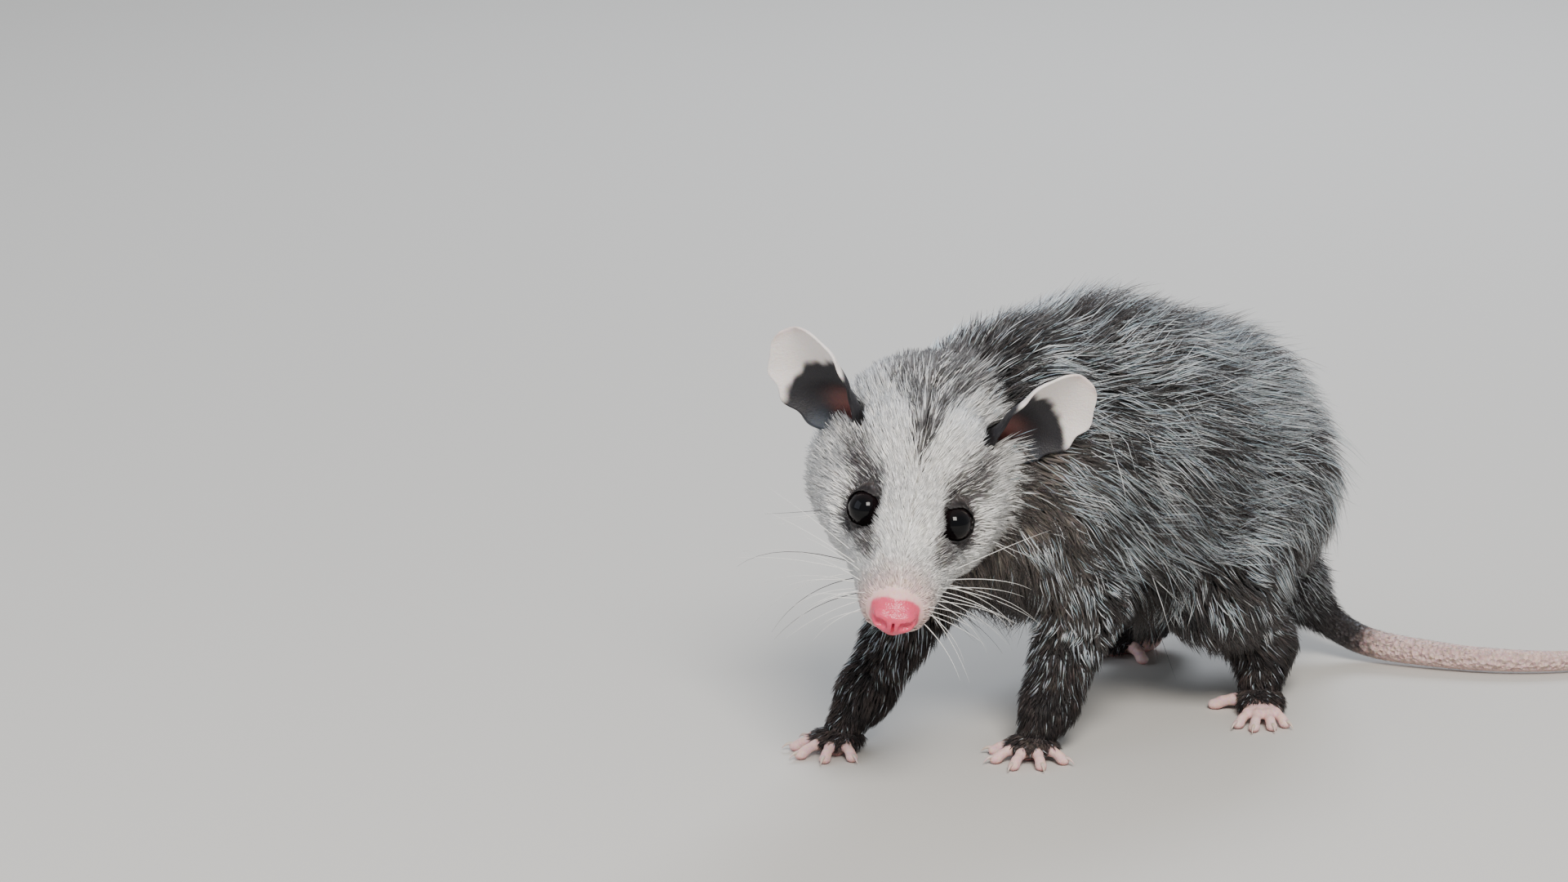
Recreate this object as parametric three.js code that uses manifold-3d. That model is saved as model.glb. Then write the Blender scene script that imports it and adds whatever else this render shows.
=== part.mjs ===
// A young Virginia opossum standing with its head turned to its left, life size.
// Each part is a closed solid of flesh and coat together, out to the tips of the fur.
// Millimetres, +Z up, soles on z = 0. The animal heads along -X and its left side is -Y.
import * as THREE from 'three';
import { mergeVertices } from 'three/addons/utils/BufferGeometryUtils.js';
import Module from 'manifold-3d';

const wasm = await Module();
wasm.setup();

// Driving dimensions: gaps and grid cells
const partGap = 0.32;
const bodyCell = 7.6;
const legCell = 5;
const headCell = 3.5;
const sleeveSides = 8;
const soleSink = 0.5;
const sleeveSlack = 1.8;
const middleClear = 5.3;
const legSoftness = 5;
const headSoftness = 7;

// Driving dimensions: heights and radii of the trunk, and the depth of its coat
const chestHeight = 63;
const backHeight = 59.5;
const hipHeight = 52;
const chestRadius = 21.5;
const bellyRadius = 25.5;
const hipRadius = 22.5;
const rumpRadius = 15.5;
const neckRadius = 18;
const napeRadius = 14.5;
const trunkCoat = 12;
const neckCoat = 6.5;

// Driving dimensions: how the head is held, and its parts
const headSeat = new THREE.Vector3(-29.3, -2.1, 71);
const headTurn = 41;
const headDrop = 23;
const headRoll = 10;
const skullRadius = 14;
const browRadius = 13;
const muzzleRadius = 9.2;
const snoutRadius = 5.5;
const padRadius = 5.9;
const jawRadius = 9;
const chinRadius = 3.3;
const cheekRadius = 9.5;
const cheekCoat = 4.5;
const jowlRadius = 10;
const eyeRadius = 4.2;
const eyePlace = [24.2, 9.3, 1.6];
const nosePlace = [49.8, 0, -6.3];
const headSleeve = [[-10, 23], [4, 26], [20, 23], [38, 15], [56, 11]];
const headSleeveSides = 12;
const neckCutTilt = 12;
const noseSize = [3.6, 4.9, 3.1];

// Driving dimensions: the ears
const earLength = 25.5;
const earHalfWidth = 11.4;
const earThickness = 1.1;
const earBase = [-1, 15.5, 6];
const earBaseCurl = 105;
const earTipCurl = 28;

// Driving dimensions: toes and tail
const toeRadius = 1.25;
const clawLength = 2.6;
const tailTipRadius = 1.7;

const coatColours = { body: 0x6f6e72, head: 0xcfc9bd, leg: 0x332d2b, skin: 0xd9a8a4 };

const radians = THREE.MathUtils.degToRad;
const point = (x, y, z) => new THREE.Vector3(x, y, z);

// The head's own axes: x to the nose, y to its left, z to the crown
const headFrame = (() => {
  const ahead = point(-Math.cos(radians(headTurn)), -Math.sin(radians(headTurn)), 0);
  const side = point(Math.sin(radians(headTurn)), -Math.cos(radians(headTurn)), 0);
  const nose = ahead.clone().multiplyScalar(Math.cos(radians(headDrop)));
  nose.z = -Math.sin(radians(headDrop));
  const crown = new THREE.Vector3().crossVectors(nose, side);
  const left = side.clone().multiplyScalar(Math.cos(radians(headRoll)));
  left.addScaledVector(crown, -Math.sin(radians(headRoll)));
  crown.multiplyScalar(Math.cos(radians(headRoll)));
  crown.addScaledVector(side, Math.sin(radians(headRoll)));
  return new THREE.Matrix4().makeBasis(nose, left, crown).setPosition(headSeat);
})();

const inHead = ([x, y, z]) => point(x, y, z).applyMatrix4(headFrame);

// A bone is a tapered rod of flesh with a coat round it; wide stretches it sideways
function bone(start, end, startRadius, endRadius, coat, wide = 1, across = point(0, 1, 0)) {
  const along = end.clone().sub(start);
  const length = along.length();
  const direction = along.clone().divideScalar(length);
  const sideways = across.clone().addScaledVector(direction, -across.dot(direction)).normalize();
  return { start, direction, length, startRadius, endRadius, coat, wide, sideways };
}

const toPoint = new THREE.Vector3();

// Signed distance, near enough, from a point to the surface of a bone's coat
function boneDistance(at, rod) {
  toPoint.copy(at).sub(rod.start);
  const reach = THREE.MathUtils.clamp(toPoint.dot(rod.direction) / rod.length, 0, 1);
  toPoint.addScaledVector(rod.direction, -reach * rod.length);
  toPoint.addScaledVector(rod.sideways, toPoint.dot(rod.sideways) * (1 / rod.wide - 1));
  const radius = THREE.MathUtils.lerp(rod.startRadius, rod.endRadius, reach);
  return toPoint.length() - radius - rod.coat;
}

// Two distances joined with a rounded inside corner
function blend(first, second, softness) {
  const overlap = Math.max(softness - Math.abs(first - second), 0) / softness;
  return Math.min(first, second) - overlap * overlap * softness / 4;
}

function groupDistance(at, group) {
  return group.bones.reduce((least, rod) => blend(least, boneDistance(at, rod), group.softness), 1e3);
}

const chest = point(-4, 0, chestHeight);
const middle = point(28, 0, backHeight);
const hip = point(57, 0, hipHeight);
const rump = point(74, 0, 41);
const nape = point(-28, -1, 72);

const trunkGroup = {
  softness: 10,
  bones: [
    bone(chest, point(6, 0, 62.5), chestRadius, chestRadius + 1.5, trunkCoat, 0.78),
    bone(point(6, 0, 62.5), middle, chestRadius + 1.5, bellyRadius, trunkCoat, 0.9),
    bone(middle, hip, bellyRadius, hipRadius, trunkCoat, 0.92),
    bone(hip, rump, hipRadius, rumpRadius, trunkCoat - 1, 0.95),
    bone(point(-6, -1, 70), nape, neckRadius, napeRadius, neckCoat),
  ],
};

const headSide = new THREE.Vector3().setFromMatrixColumn(headFrame, 1);
const headBone = (start, end, startRadius, endRadius, coat, wide = 1) =>
  bone(inHead(start), inHead(end), startRadius, endRadius, coat, wide, headSide);

const headGroup = {
  softness: 5,
  bones: [
    headBone([-6, 0, 1], [8, 0, 1.5], skullRadius, browRadius + 0.3, 3.5, 1.08),
    headBone([8, 0, 1.5], [26, 0, -0.5], browRadius, 9.3, 1.6),
    headBone([24, 0, -1.5], [46, 0, -6.6], muzzleRadius, snoutRadius, 0.7),
    headBone([2, 0, -9], [41, 0, -9.6], jawRadius, chinRadius, 2, 1.1),
    ...[-1, 1].flatMap((side) => [
      headBone([2, 10 * side, -3], [16, 8.5 * side, -5.5], cheekRadius, 6, cheekCoat),
      headBone([5, 9 * side, -9], [20, 6.2 * side, -8.5], jowlRadius, 6.4, cheekCoat),
      headBone([30, 4 * side, -6.6], [41.5, 2.2 * side, -7.4], padRadius, 3.6, 0.8),
    ]),
  ],
};

// Each leg: its joints from the body down, the flesh there, the coat, and how its foot points
const legPlans = {
  foreleg_left: {
    joints: [[-4, -13, 54], [6, -17, 33], [-2, -16, 11], [-5, -16.5, 6]],
    radii: [9.5, 6.6, 4.1, 3.7], coats: [6, 3.5, 1.6], foot: 'forefoot_left', sole: [-8, -17], aim: 22,
  },
  foreleg_right: {
    joints: [[-6, 13, 54], [-8, 17.4, 33], [-28.6, 15.3, 12], [-34, 15.2, 6.4]],
    radii: [9.5, 6.6, 4.1, 3.7], coats: [6, 3.5, 1.6], foot: 'forefoot_right', sole: [-37, 15], aim: -6,
  },
  hindleg_left: {
    joints: [[62, -13, 47], [45, -21, 31], [62, -21, 13], [57, -25, 6]],
    radii: [15, 9.8, 4.9, 4.3], coats: [7, 5, 2.2], foot: 'hindfoot_left', sole: [53, -29], aim: 45,
  },
  hindleg_right: {
    joints: [[62, 13, 47], [53, 21, 31], [72, 20, 13], [67, 22, 6]],
    radii: [15, 9.8, 4.9, 4.3], coats: [7, 5, 2.2], foot: 'hindfoot_right', sole: [62, 25], aim: -25,
  },
};

function legGroup(plan) {
  const joints = plan.joints.map((joint) => point(...joint));
  const bones = plan.coats.map((coat, i) =>
    bone(joints[i], joints[i + 1], plan.radii[i], plan.radii[i + 1], coat));
  return { softness: legSoftness, bones };
}

const legGroups = Object.fromEntries(
  Object.entries(legPlans).map(([name, plan]) => [name, legGroup(plan)]));

// The whole animal but for its feet, tail and ears
function bodyDistance(at) {
  let distance = blend(groupDistance(at, trunkGroup), groupDistance(at, headGroup), headSoftness);
  for (const group of Object.values(legGroups)) {
    distance = blend(distance, groupDistance(at, group), 6);
  }
  return distance;
}

// A closed mesh over the region where field is below zero, one vertex to each cell it crosses
function surfaceNet(field, low, high, cell) {
  const counts = low.map((start, axis) => Math.ceil((high[axis] - start) / cell) + 1);
  const [nx, ny, nz] = counts;
  const sampleAt = (i, j, k) => (i * ny + j) * nz + k;
  const samples = new Float64Array(nx * ny * nz).fill(1);
  const here = new THREE.Vector3();
  for (let i = 1; i < nx - 1; i += 1) {
    for (let j = 1; j < ny - 1; j += 1) {
      for (let k = 1; k < nz - 1; k += 1) {
        here.set(low[0] + i * cell, low[1] + j * cell, low[2] + k * cell);
        samples[sampleAt(i, j, k)] = field(here);
      }
    }
  }
  const steps = [[1, 0, 0], [0, 1, 0], [0, 0, 1]];
  const vertexOf = new Map();
  const positions = [];
  for (let i = 0; i < nx - 1; i += 1) {
    for (let j = 0; j < ny - 1; j += 1) {
      for (let k = 0; k < nz - 1; k += 1) {
        const sum = new THREE.Vector3();
        let crossings = 0;
        for (let corner = 0; corner < 8; corner += 1) {
          const from = [corner & 1, (corner >> 1) & 1, corner >> 2];
          const value = samples[sampleAt(i + from[0], j + from[1], k + from[2])];
          steps.forEach((step, axis) => {
            if (from[axis] === 1) return;
            const at = [i + from[0] + step[0], j + from[1] + step[1], k + from[2] + step[2]];
            const next = samples[sampleAt(...at)];
            if ((value < 0) === (next < 0)) return;
            const share = value / (value - next);
            sum.add(point(...from.map((start, n) => start + step[n] * share)));
            crossings += 1;
          });
        }
        if (crossings === 0) continue;
        sum.divideScalar(crossings);
        vertexOf.set(sampleAt(i, j, k), positions.length / 3);
        positions.push(
          low[0] + (i + sum.x) * cell, low[1] + (j + sum.y) * cell, low[2] + (k + sum.z) * cell);
      }
    }
  }
  const triangles = [];
  for (let i = 0; i < nx - 1; i += 1) {
    for (let j = 0; j < ny - 1; j += 1) {
      for (let k = 0; k < nz - 1; k += 1) {
        const value = samples[sampleAt(i, j, k)];
        steps.forEach((step, axis) => {
          const next = samples[sampleAt(i + step[0], j + step[1], k + step[2])];
          if ((value < 0) === (next < 0)) return;
          const [u, v] = [steps[(axis + 1) % 3], steps[(axis + 2) % 3]];
          const cellBack = (du, dv) => vertexOf.get(sampleAt(
            i - du * u[0] - dv * v[0], j - du * u[1] - dv * v[1], k - du * u[2] - dv * v[2]));
          const quad = [cellBack(1, 1), cellBack(0, 1), cellBack(0, 0), cellBack(1, 0)];
          if (value >= 0) quad.reverse();
          triangles.push(quad[0], quad[1], quad[2], quad[0], quad[2], quad[3]);
        });
      }
    }
  }
  const geometry = new THREE.BufferGeometry();
  geometry.setAttribute('position', new THREE.Float32BufferAttribute(positions, 3));
  geometry.setIndex(triangles);
  return geometry;
}

// The same mesh with only its positions, and one vertex at each place
function bareMesh(geometry) {
  const bare = geometry.clone();
  bare.deleteAttribute('normal');
  bare.deleteAttribute('uv');
  return mergeVertices(bare, 1e-4);
}

function solidFrom(geometry) {
  const merged = bareMesh(geometry);
  return new wasm.Manifold(new wasm.Mesh({
    numProp: 3,
    vertProperties: new Float32Array(merged.attributes.position.array),
    triVerts: new Uint32Array(merged.index.array),
  }));
}

function geometryFrom(solid) {
  const mesh = solid.getMesh();
  const geometry = new THREE.BufferGeometry();
  geometry.setAttribute('position', new THREE.BufferAttribute(mesh.vertProperties, 3));
  geometry.setIndex(new THREE.BufferAttribute(mesh.triVerts, 1));
  return geometry;
}

// A surface net whose grid is shifted until no two sheets of the surface share a cell
function cleanNet(field, low, high, cell) {
  for (let shift = 0; shift < 1; shift += 0.13) {
    const start = low.map((value, axis) => value - shift * cell * (1 + axis * 0.3));
    const geometry = surfaceNet(field, start, high, cell);
    try {
      solidFrom(geometry).delete();
      return geometry;
    } catch {
      continue;
    }
  }
  throw new Error('no grid parts the sheets of this surface');
}

// The same shape with every vertex moved out along its normal
function inflated(geometry, distance) {
  const grown = bareMesh(geometry);
  grown.computeVertexNormals();
  const { position, normal } = grown.attributes;
  for (let i = 0; i < position.count; i += 1) {
    position.setXYZ(i,
      position.getX(i) + normal.getX(i) * distance,
      position.getY(i) + normal.getY(i) * distance,
      position.getZ(i) + normal.getZ(i) * distance);
  }
  return solidFrom(grown);
}

const biggestBody = (solid) =>
  solid.decompose().reduce((best, body) => (body.volume() > best.volume() ? body : best));

// The room above the floor, which trims soles and the underside of the tail flat
const aboveFloor = (() => {
  const room = new THREE.BoxGeometry(600, 600, 300);
  room.translate(0, 0, 150);
  return solidFrom(room);
})();

// A tapered tube through a list of points, its ends domed by a share of their radius
function limb(centres, radii, sides, dome = 0.5) {
  const positions = [];
  const triangles = [];
  const last = centres.length - 1;
  const tangentAt = (i) =>
    centres[Math.min(i + 1, last)].clone().sub(centres[Math.max(i - 1, 0)]).normalize();
  let across = new THREE.Vector3().crossVectors(tangentAt(0), point(0.13, 0.21, 1)).normalize();
  positions.push(...centres[0].clone().addScaledVector(tangentAt(0), -radii[0] * dome).toArray());
  centres.forEach((centre, i) => {
    const tangent = tangentAt(i);
    across = across.addScaledVector(tangent, -across.dot(tangent)).normalize();
    const upward = new THREE.Vector3().crossVectors(tangent, across);
    for (let side = 0; side < sides; side += 1) {
      const angle = (side / sides) * 2 * Math.PI;
      const onRing = centre.clone().addScaledVector(across, Math.cos(angle) * radii[i]);
      onRing.addScaledVector(upward, Math.sin(angle) * radii[i]);
      positions.push(...onRing.toArray());
    }
  });
  positions.push(...centres[last].clone().addScaledVector(tangentAt(last), radii[last] * dome).toArray());
  for (let side = 0; side < sides; side += 1) {
    const next = (side + 1) % sides;
    triangles.push(0, 1 + next, 1 + side);
    for (let i = 0; i < last; i += 1) {
      const ring = 1 + i * sides;
      triangles.push(ring + side, ring + next, ring + sides + next);
      triangles.push(ring + side, ring + sides + next, ring + sides + side);
    }
    const ring = 1 + last * sides;
    triangles.push(ring + side, ring + next, ring + sides);
  }
  const geometry = new THREE.BufferGeometry();
  geometry.setAttribute('position', new THREE.Float32BufferAttribute(positions, 3));
  geometry.setIndex(triangles);
  return geometry;
}

// A foot: a flat palm and five toes, each arched and ending in a claw but for the hind thumb
const footPlans = {
  fore: { palm: [5.2, 4.6, 3.4], toeLength: 7.5, angles: [-78, -36, 0, 36, 76], clawless: [] },
  hind: { palm: [8.2, 4.6, 3.6], toeLength: 8.5, angles: [-34, -12, 10, 32, 96], clawless: [4] },
};

function footSolid(name, plan) {
  const kind = footPlans[name.startsWith('fore') ? 'fore' : 'hind'];
  const inward = name.endsWith('left') ? -1 : 1;
  const palm = new THREE.SphereGeometry(1, 9, 6);
  palm.scale(...kind.palm);
  palm.translate(0, 0, kind.palm[2] - soleSink);
  let foot = solidFrom(palm);
  kind.angles.forEach((angle, toe) => {
    const thumb = kind.clawless.includes(toe);
    const turn = radians(angle * inward);
    const length = kind.toeLength * (1 - 0.12 * Math.abs(toe - 2) * (thumb ? 0.4 : 1));
    const onToe = (reach, height) => point(
      Math.cos(turn) * (kind.palm[1] - 1.4 + reach) + (thumb ? -1 : kind.palm[0] - kind.palm[1]),
      Math.sin(turn) * (kind.palm[1] - 1.4 + reach), height);
    const centres = [onToe(0, 1.9), onToe(length * 0.6, 1.9)];
    const radii = [toeRadius * 1.15, toeRadius];
    if (thumb) {
      centres.push(onToe(length * 1.05, 1.1));
      radii.push(toeRadius * 0.9);
    } else {
      centres.push(onToe(length, 1.2), onToe(length + clawLength, 0.75));
      radii.push(toeRadius * 0.8, 0.28);
    }
    foot = foot.add(solidFrom(limb(centres, radii, 5)));
  });
  const turned = geometryFrom(foot);
  turned.rotateZ(Math.PI + radians(plan.aim));
  turned.translate(plan.sole[0], plan.sole[1], 0);
  return solidFrom(turned).intersect(aboveFloor);
}

// An ear: a leaf rolled into a cup at its base, with its hollow turned forward and out
function earGeometry(side) {
  const upEar = point(-0.1, 0.66 * side, 0.74).normalize();
  const hollow = point(0.86, 0.5 * side, 0.05);
  hollow.addScaledVector(upEar, -hollow.dot(upEar)).normalize();
  const acrossEar = new THREE.Vector3().crossVectors(upEar, hollow);
  const base = point(earBase[0], earBase[1] * side, earBase[2]);
  const rows = 8;
  const columns = 10;
  const halfWidthAt = (rise) => earHalfWidth * (rise < 0.5
    ? THREE.MathUtils.lerp(0.62, 1, Math.sin(rise * Math.PI))
    : Math.sqrt(1 - ((rise - 0.5) / 0.53) ** 2));
  const positions = [];
  for (const layer of [-0.5, 0.5]) {
    for (let row = 0; row <= rows; row += 1) {
      const rise = row / rows;
      const curl = radians(THREE.MathUtils.lerp(earBaseCurl, earTipCurl, Math.sqrt(rise)));
      const radius = halfWidthAt(rise) / curl;
      for (let column = 0; column <= columns; column += 1) {
        const turn = (column / columns * 2 - 1) * curl;
        const reach = radius - layer * earThickness;
        const at = base.clone().addScaledVector(upEar, rise * earLength);
        at.addScaledVector(acrossEar, Math.sin(turn) * reach);
        at.addScaledVector(hollow, radius - Math.cos(turn) * reach);
        positions.push(...inHead(at.toArray()).toArray());
      }
    }
  }
  const sheet = (rows + 1) * (columns + 1);
  const at = (layer, row, column) => layer * sheet + row * (columns + 1) + column;
  const triangles = [];
  const quad = (a, b, c, d) => triangles.push(a, b, c, a, c, d);
  for (let row = 0; row < rows; row += 1) {
    for (let column = 0; column < columns; column += 1) {
      quad(at(0, row, column), at(0, row, column + 1), at(0, row + 1, column + 1), at(0, row + 1, column));
      quad(at(1, row, column), at(1, row + 1, column), at(1, row + 1, column + 1), at(1, row, column + 1));
    }
    quad(at(0, row + 1, 0), at(1, row + 1, 0), at(1, row, 0), at(0, row, 0));
    quad(at(0, row, columns), at(1, row, columns), at(1, row + 1, columns), at(0, row + 1, columns));
  }
  for (let column = 0; column < columns; column += 1) {
    quad(at(0, 0, column), at(1, 0, column), at(1, 0, column + 1), at(0, 0, column + 1));
    quad(at(0, rows, column + 1), at(1, rows, column + 1), at(1, rows, column), at(0, rows, column));
  }
  triangles.reverse();
  const geometry = new THREE.BufferGeometry();
  geometry.setAttribute('position', new THREE.Float32BufferAttribute(positions, 3));
  geometry.setIndex(triangles);
  return geometry;
}

// The tail runs down from the rump and along the floor to the animal's left
const tailCurve = new THREE.CatmullRomCurve3([
  point(72, 0, 37), point(84, -2, 26), point(92, -8, 13.5), point(99, -18, 5.5), point(107, -33, 3.7),
  point(117, -47, 3.2), point(130, -57, 2.8), point(144, -61, 2.2), point(156, -57, 1.6),
]);
const tailLengths = { tail_root: [0, 0.34], tail_mid: [0.34, 0.67], tail_tip: [0.67, 1] };

function tailRadius(share) {
  const bare = THREE.MathUtils.lerp(4.4, tailTipRadius, share);
  return bare + 6 * Math.exp(-((share / 0.13) ** 2));
}

function tailGeometry([from, to]) {
  const steps = 9;
  const gapShare = partGap / tailCurve.getLength();
  const centres = [];
  const radii = [];
  for (let i = 0; i <= steps; i += 1) {
    const share = THREE.MathUtils.lerp(from + gapShare * 4, to, i / steps);
    centres.push(tailCurve.getPointAt(share));
    radii.push(tailRadius(share));
  }
  return limb(centres, radii, 9, 0);
}

const parts = {};

// Legs are cut from the whole animal by a plain sleeve, one capsule to each bone of the leg.
// The two sleeves of a pair stay clear of the middle of the trunk.
function capsule(start, end, startRadius, endRadius) {
  const along = end.clone().sub(start).normalize();
  const centres = [
    start.clone().addScaledVector(along, -0.7 * startRadius), start,
    end, end.clone().addScaledVector(along, 0.7 * endRadius),
  ];
  const radii = [0.7 * startRadius, startRadius, endRadius, 0.7 * endRadius];
  return solidFrom(limb(centres, radii, sleeveSides, 0.4));
}

function legSleeve(plan, side, slack) {
  const centres = plan.joints.map((joint) => point(...joint));
  const capsules = plan.coats.map((coat, i) => capsule(
    centres[i], centres[i + 1], plan.radii[i] + coat + slack, plan.radii[i + 1] + coat + slack));
  const halfSpace = new THREE.BoxGeometry(400, 200, 400);
  halfSpace.translate(0, side * (100 + middleClear + sleeveSlack - slack), 0);
  return capsules.reduce((sleeve, next) => sleeve.add(next)).intersect(solidFrom(halfSpace));
}

function boundsOf(group, margin) {
  const box = new THREE.Box3();
  for (const rod of group.bones) {
    const end = rod.start.clone().addScaledVector(rod.direction, rod.length);
    const reach = Math.max(rod.startRadius, rod.endRadius) * rod.wide + rod.coat + margin;
    box.union(new THREE.Box3(rod.start.clone(), rod.start.clone()).expandByScalar(reach));
    box.union(new THREE.Box3(end.clone(), end.clone()).expandByScalar(reach));
  }
  return box;
}

// The trunk is meshed with only the upper bones of the legs, which are all it meets
const upperLegs = Object.values(legGroups).map(({ softness, bones }) =>
  ({ softness, bones: bones.slice(0, 1) }));
const trunkField = (at) => upperLegs.reduce(
  (distance, group) => blend(distance, groupDistance(at, group), 6),
  blend(groupDistance(at, trunkGroup), groupDistance(at, headGroup), headSoftness));
let body = solidFrom(cleanNet(trunkField, [-100, -60, 0], [120, 60, 125], bodyCell));

for (const [name, group] of Object.entries(legGroups)) {
  const side = name.endsWith('left') ? -1 : 1;
  const box = boundsOf(group, 4 * legCell);
  const low = box.min.toArray();
  const high = box.max.toArray();
  const plan = legPlans[name];
  const sleeve = legSleeve(plan, side, sleeveSlack);
  const roomySleeve = legSleeve(plan, side, sleeveSlack + partGap * 1.2);
  const detailed = solidFrom(cleanNet(bodyDistance, low, high, legCell));
  const leg = biggestBody(detailed.intersect(sleeve));
  parts[name] = geometryFrom(leg);
  body = body.subtract(roomySleeve);
  const foot = footSolid(plan.foot, plan).subtract(inflated(parts[name], partGap));
  parts[plan.foot] = geometryFrom(biggestBody(foot));
}

// The head is cut off behind the ears by a wide sleeve that tapers to the nose
const sleeve = limb(
  headSleeve.map(([x]) => inHead([x, 0, -2])), headSleeve.map((station) => station[1]), headSleeveSides, 0);
const headBox = boundsOf(headGroup, 4 * headCell);
const detailedHead = cleanNet(bodyDistance, headBox.min.toArray(), headBox.max.toArray(), headCell);
let head = biggestBody(solidFrom(detailedHead).intersect(solidFrom(sleeve)));
for (const name of ['foreleg_left', 'foreleg_right']) {
  head = head.subtract(inflated(parts[name], partGap));
}
body = biggestBody(body.subtract(inflated(sleeve, partGap)));

// Eyes, nose and ears sit in or on the head
for (const [sideName, side] of [['left', 1], ['right', -1]]) {
  const eye = new THREE.SphereGeometry(eyeRadius, 12, 8);
  eye.applyMatrix4(new THREE.Matrix4().setPosition(inHead([eyePlace[0], eyePlace[1] * side, eyePlace[2]])));
  parts[`eye_${sideName}`] = eye;
  head = head.subtract(inflated(eye, partGap));
}

const nose = new THREE.SphereGeometry(1, 12, 8);
nose.scale(...noseSize);
nose.translate(...nosePlace);
nose.applyMatrix4(headFrame);
parts.nose = bareMesh(nose);
head = biggestBody(head.subtract(inflated(parts.nose, partGap)));
parts.head = geometryFrom(head);
const headCore = inflated(parts.head, partGap);

for (const [sideName, side] of [['left', 1], ['right', -1]]) {
  const ear = solidFrom(earGeometry(side));
  const outside = ear.subtract(headCore).subtract(body);
  parts[`ear_${sideName}`] = geometryFrom(biggestBody(outside));
}

// The neck is parted from the trunk by a slab as thin as the gap
const shoulderCut = new THREE.BoxGeometry(200, 300, 300);
shoulderCut.translate(-100, 0, 0);
shoulderCut.rotateY(radians(neckCutTilt));
shoulderCut.translate(-15, 0, 70);
const frontRoom = solidFrom(shoulderCut);
parts.neck = geometryFrom(biggestBody(body.intersect(frontRoom)));
body = biggestBody(body.subtract(inflated(shoulderCut, partGap)));

for (const [name, span] of Object.entries(tailLengths)) {
  let tail = solidFrom(tailGeometry(span)).intersect(aboveFloor);
  if (name === 'tail_root') {
    tail = tail.subtract(inflated(geometryFrom(body), partGap));
  }
  parts[name] = geometryFrom(biggestBody(tail));
}
parts.trunk = geometryFrom(body);

const colourOf = (name) => {
  if (name.startsWith('eye')) return 0x0b0b10;
  if (name.startsWith('ear')) return 0x2a2426;
  if (name === 'nose') return 0xe07d86;
  if (name === 'head') return coatColours.head;
  if (name.includes('foot') || name.startsWith('tail')) return coatColours.skin;
  return name.includes('leg') ? coatColours.leg : coatColours.body;
};

const opossum = new THREE.Group();
for (const [name, geometry] of Object.entries(parts)) {
  const finish = { color: colourOf(name), roughness: name.startsWith('eye') ? 0.05 : 0.8, metalness: 0 };
  const mesh = new THREE.Mesh(geometry, new THREE.MeshStandardMaterial(finish));
  mesh.name = name;
  opossum.add(mesh);
}

// The origin is at the middle of the animal's box, at floor level
const whole = new THREE.Box3().setFromObject(opossum);
const centre = whole.getCenter(new THREE.Vector3());
opossum.position.set(-centre.x, -centre.y, -whole.min.z);

export default opossum;
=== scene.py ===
import math
import time

import bpy
import numpy as np
from mathutils import Matrix, Vector
from mathutils.kdtree import KDTree


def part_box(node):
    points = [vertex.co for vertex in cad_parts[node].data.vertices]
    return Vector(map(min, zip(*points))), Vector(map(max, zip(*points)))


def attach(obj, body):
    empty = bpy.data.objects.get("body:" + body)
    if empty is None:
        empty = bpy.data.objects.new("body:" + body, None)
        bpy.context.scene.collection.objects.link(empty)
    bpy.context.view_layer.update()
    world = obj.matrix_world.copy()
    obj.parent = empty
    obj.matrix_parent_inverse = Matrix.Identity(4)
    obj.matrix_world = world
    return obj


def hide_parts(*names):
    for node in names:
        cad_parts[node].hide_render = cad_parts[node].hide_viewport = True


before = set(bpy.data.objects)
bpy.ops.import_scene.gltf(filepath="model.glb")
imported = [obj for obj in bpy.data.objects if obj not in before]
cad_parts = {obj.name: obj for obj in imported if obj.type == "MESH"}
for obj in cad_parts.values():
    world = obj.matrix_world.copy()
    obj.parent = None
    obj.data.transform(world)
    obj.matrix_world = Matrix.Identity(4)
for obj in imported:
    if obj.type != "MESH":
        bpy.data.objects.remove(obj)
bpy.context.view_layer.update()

random = np.random.default_rng(7)
startTime = time.time()


def stage(message):
    print(f"{time.time() - startTime:6.1f} s  {message}")


def unit(v):
    v = np.asarray(v, float)
    return v / (np.linalg.norm(v, axis=-1, keepdims=True) + 1e-12)


def smoothstep(low, high, x):
    t = np.clip((x - low) / (high - low), 0, 1)
    return t * t * (3 - 2 * t)


def linear(hexColour):
    channels = np.array([int(hexColour[i:i + 2], 16) for i in (1, 3, 5)]) / 255
    return np.where(channels <= 0.04045, channels / 12.92, ((channels + 0.055) / 1.055) ** 2.4)


def mix(first, second, share):
    share = np.asarray(share)[..., None]
    return first * (1 - share) + second * share


# The head's own axes: x to the nose, y to its left, z to the crown
head = dict(
    seat=np.array([-29.3, -2.1, 71.0]), turn=41.0, drop=23.0, roll=10.0, noseDrop=1.4,
    eyePlace=(24.2, 9.3, 1.6), eyeAim=(0.76, 0.38, 0.53),
)


def headAxes():
    turn, drop, roll = (math.radians(head[key]) for key in ("turn", "drop", "roll"))
    side = np.array([math.sin(turn), -math.cos(turn), 0])
    nose = np.array([-math.cos(turn) * math.cos(drop), -math.sin(turn) * math.cos(drop), -math.sin(drop)])
    crown = np.cross(nose, side)
    left = side * math.cos(roll) - crown * math.sin(roll)
    return np.array([nose, left, crown * math.cos(roll) + side * math.sin(roll)])


headTurned = headAxes()


def inHead(local):
    return head["seat"] + np.asarray(local, float) @ headTurned


def toHead(points):
    return (points - head["seat"]) @ headTurned.T


def mirrored(local, side):
    return np.asarray(local, float) * (1, side, 1)


# The left eye's place in the frame tells how far the animal's frame lies from the model's
cadEye = np.mean(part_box("eye_left"), axis=0) * 1000
shift = cadEye - inHead(head["eyePlace"])


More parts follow.
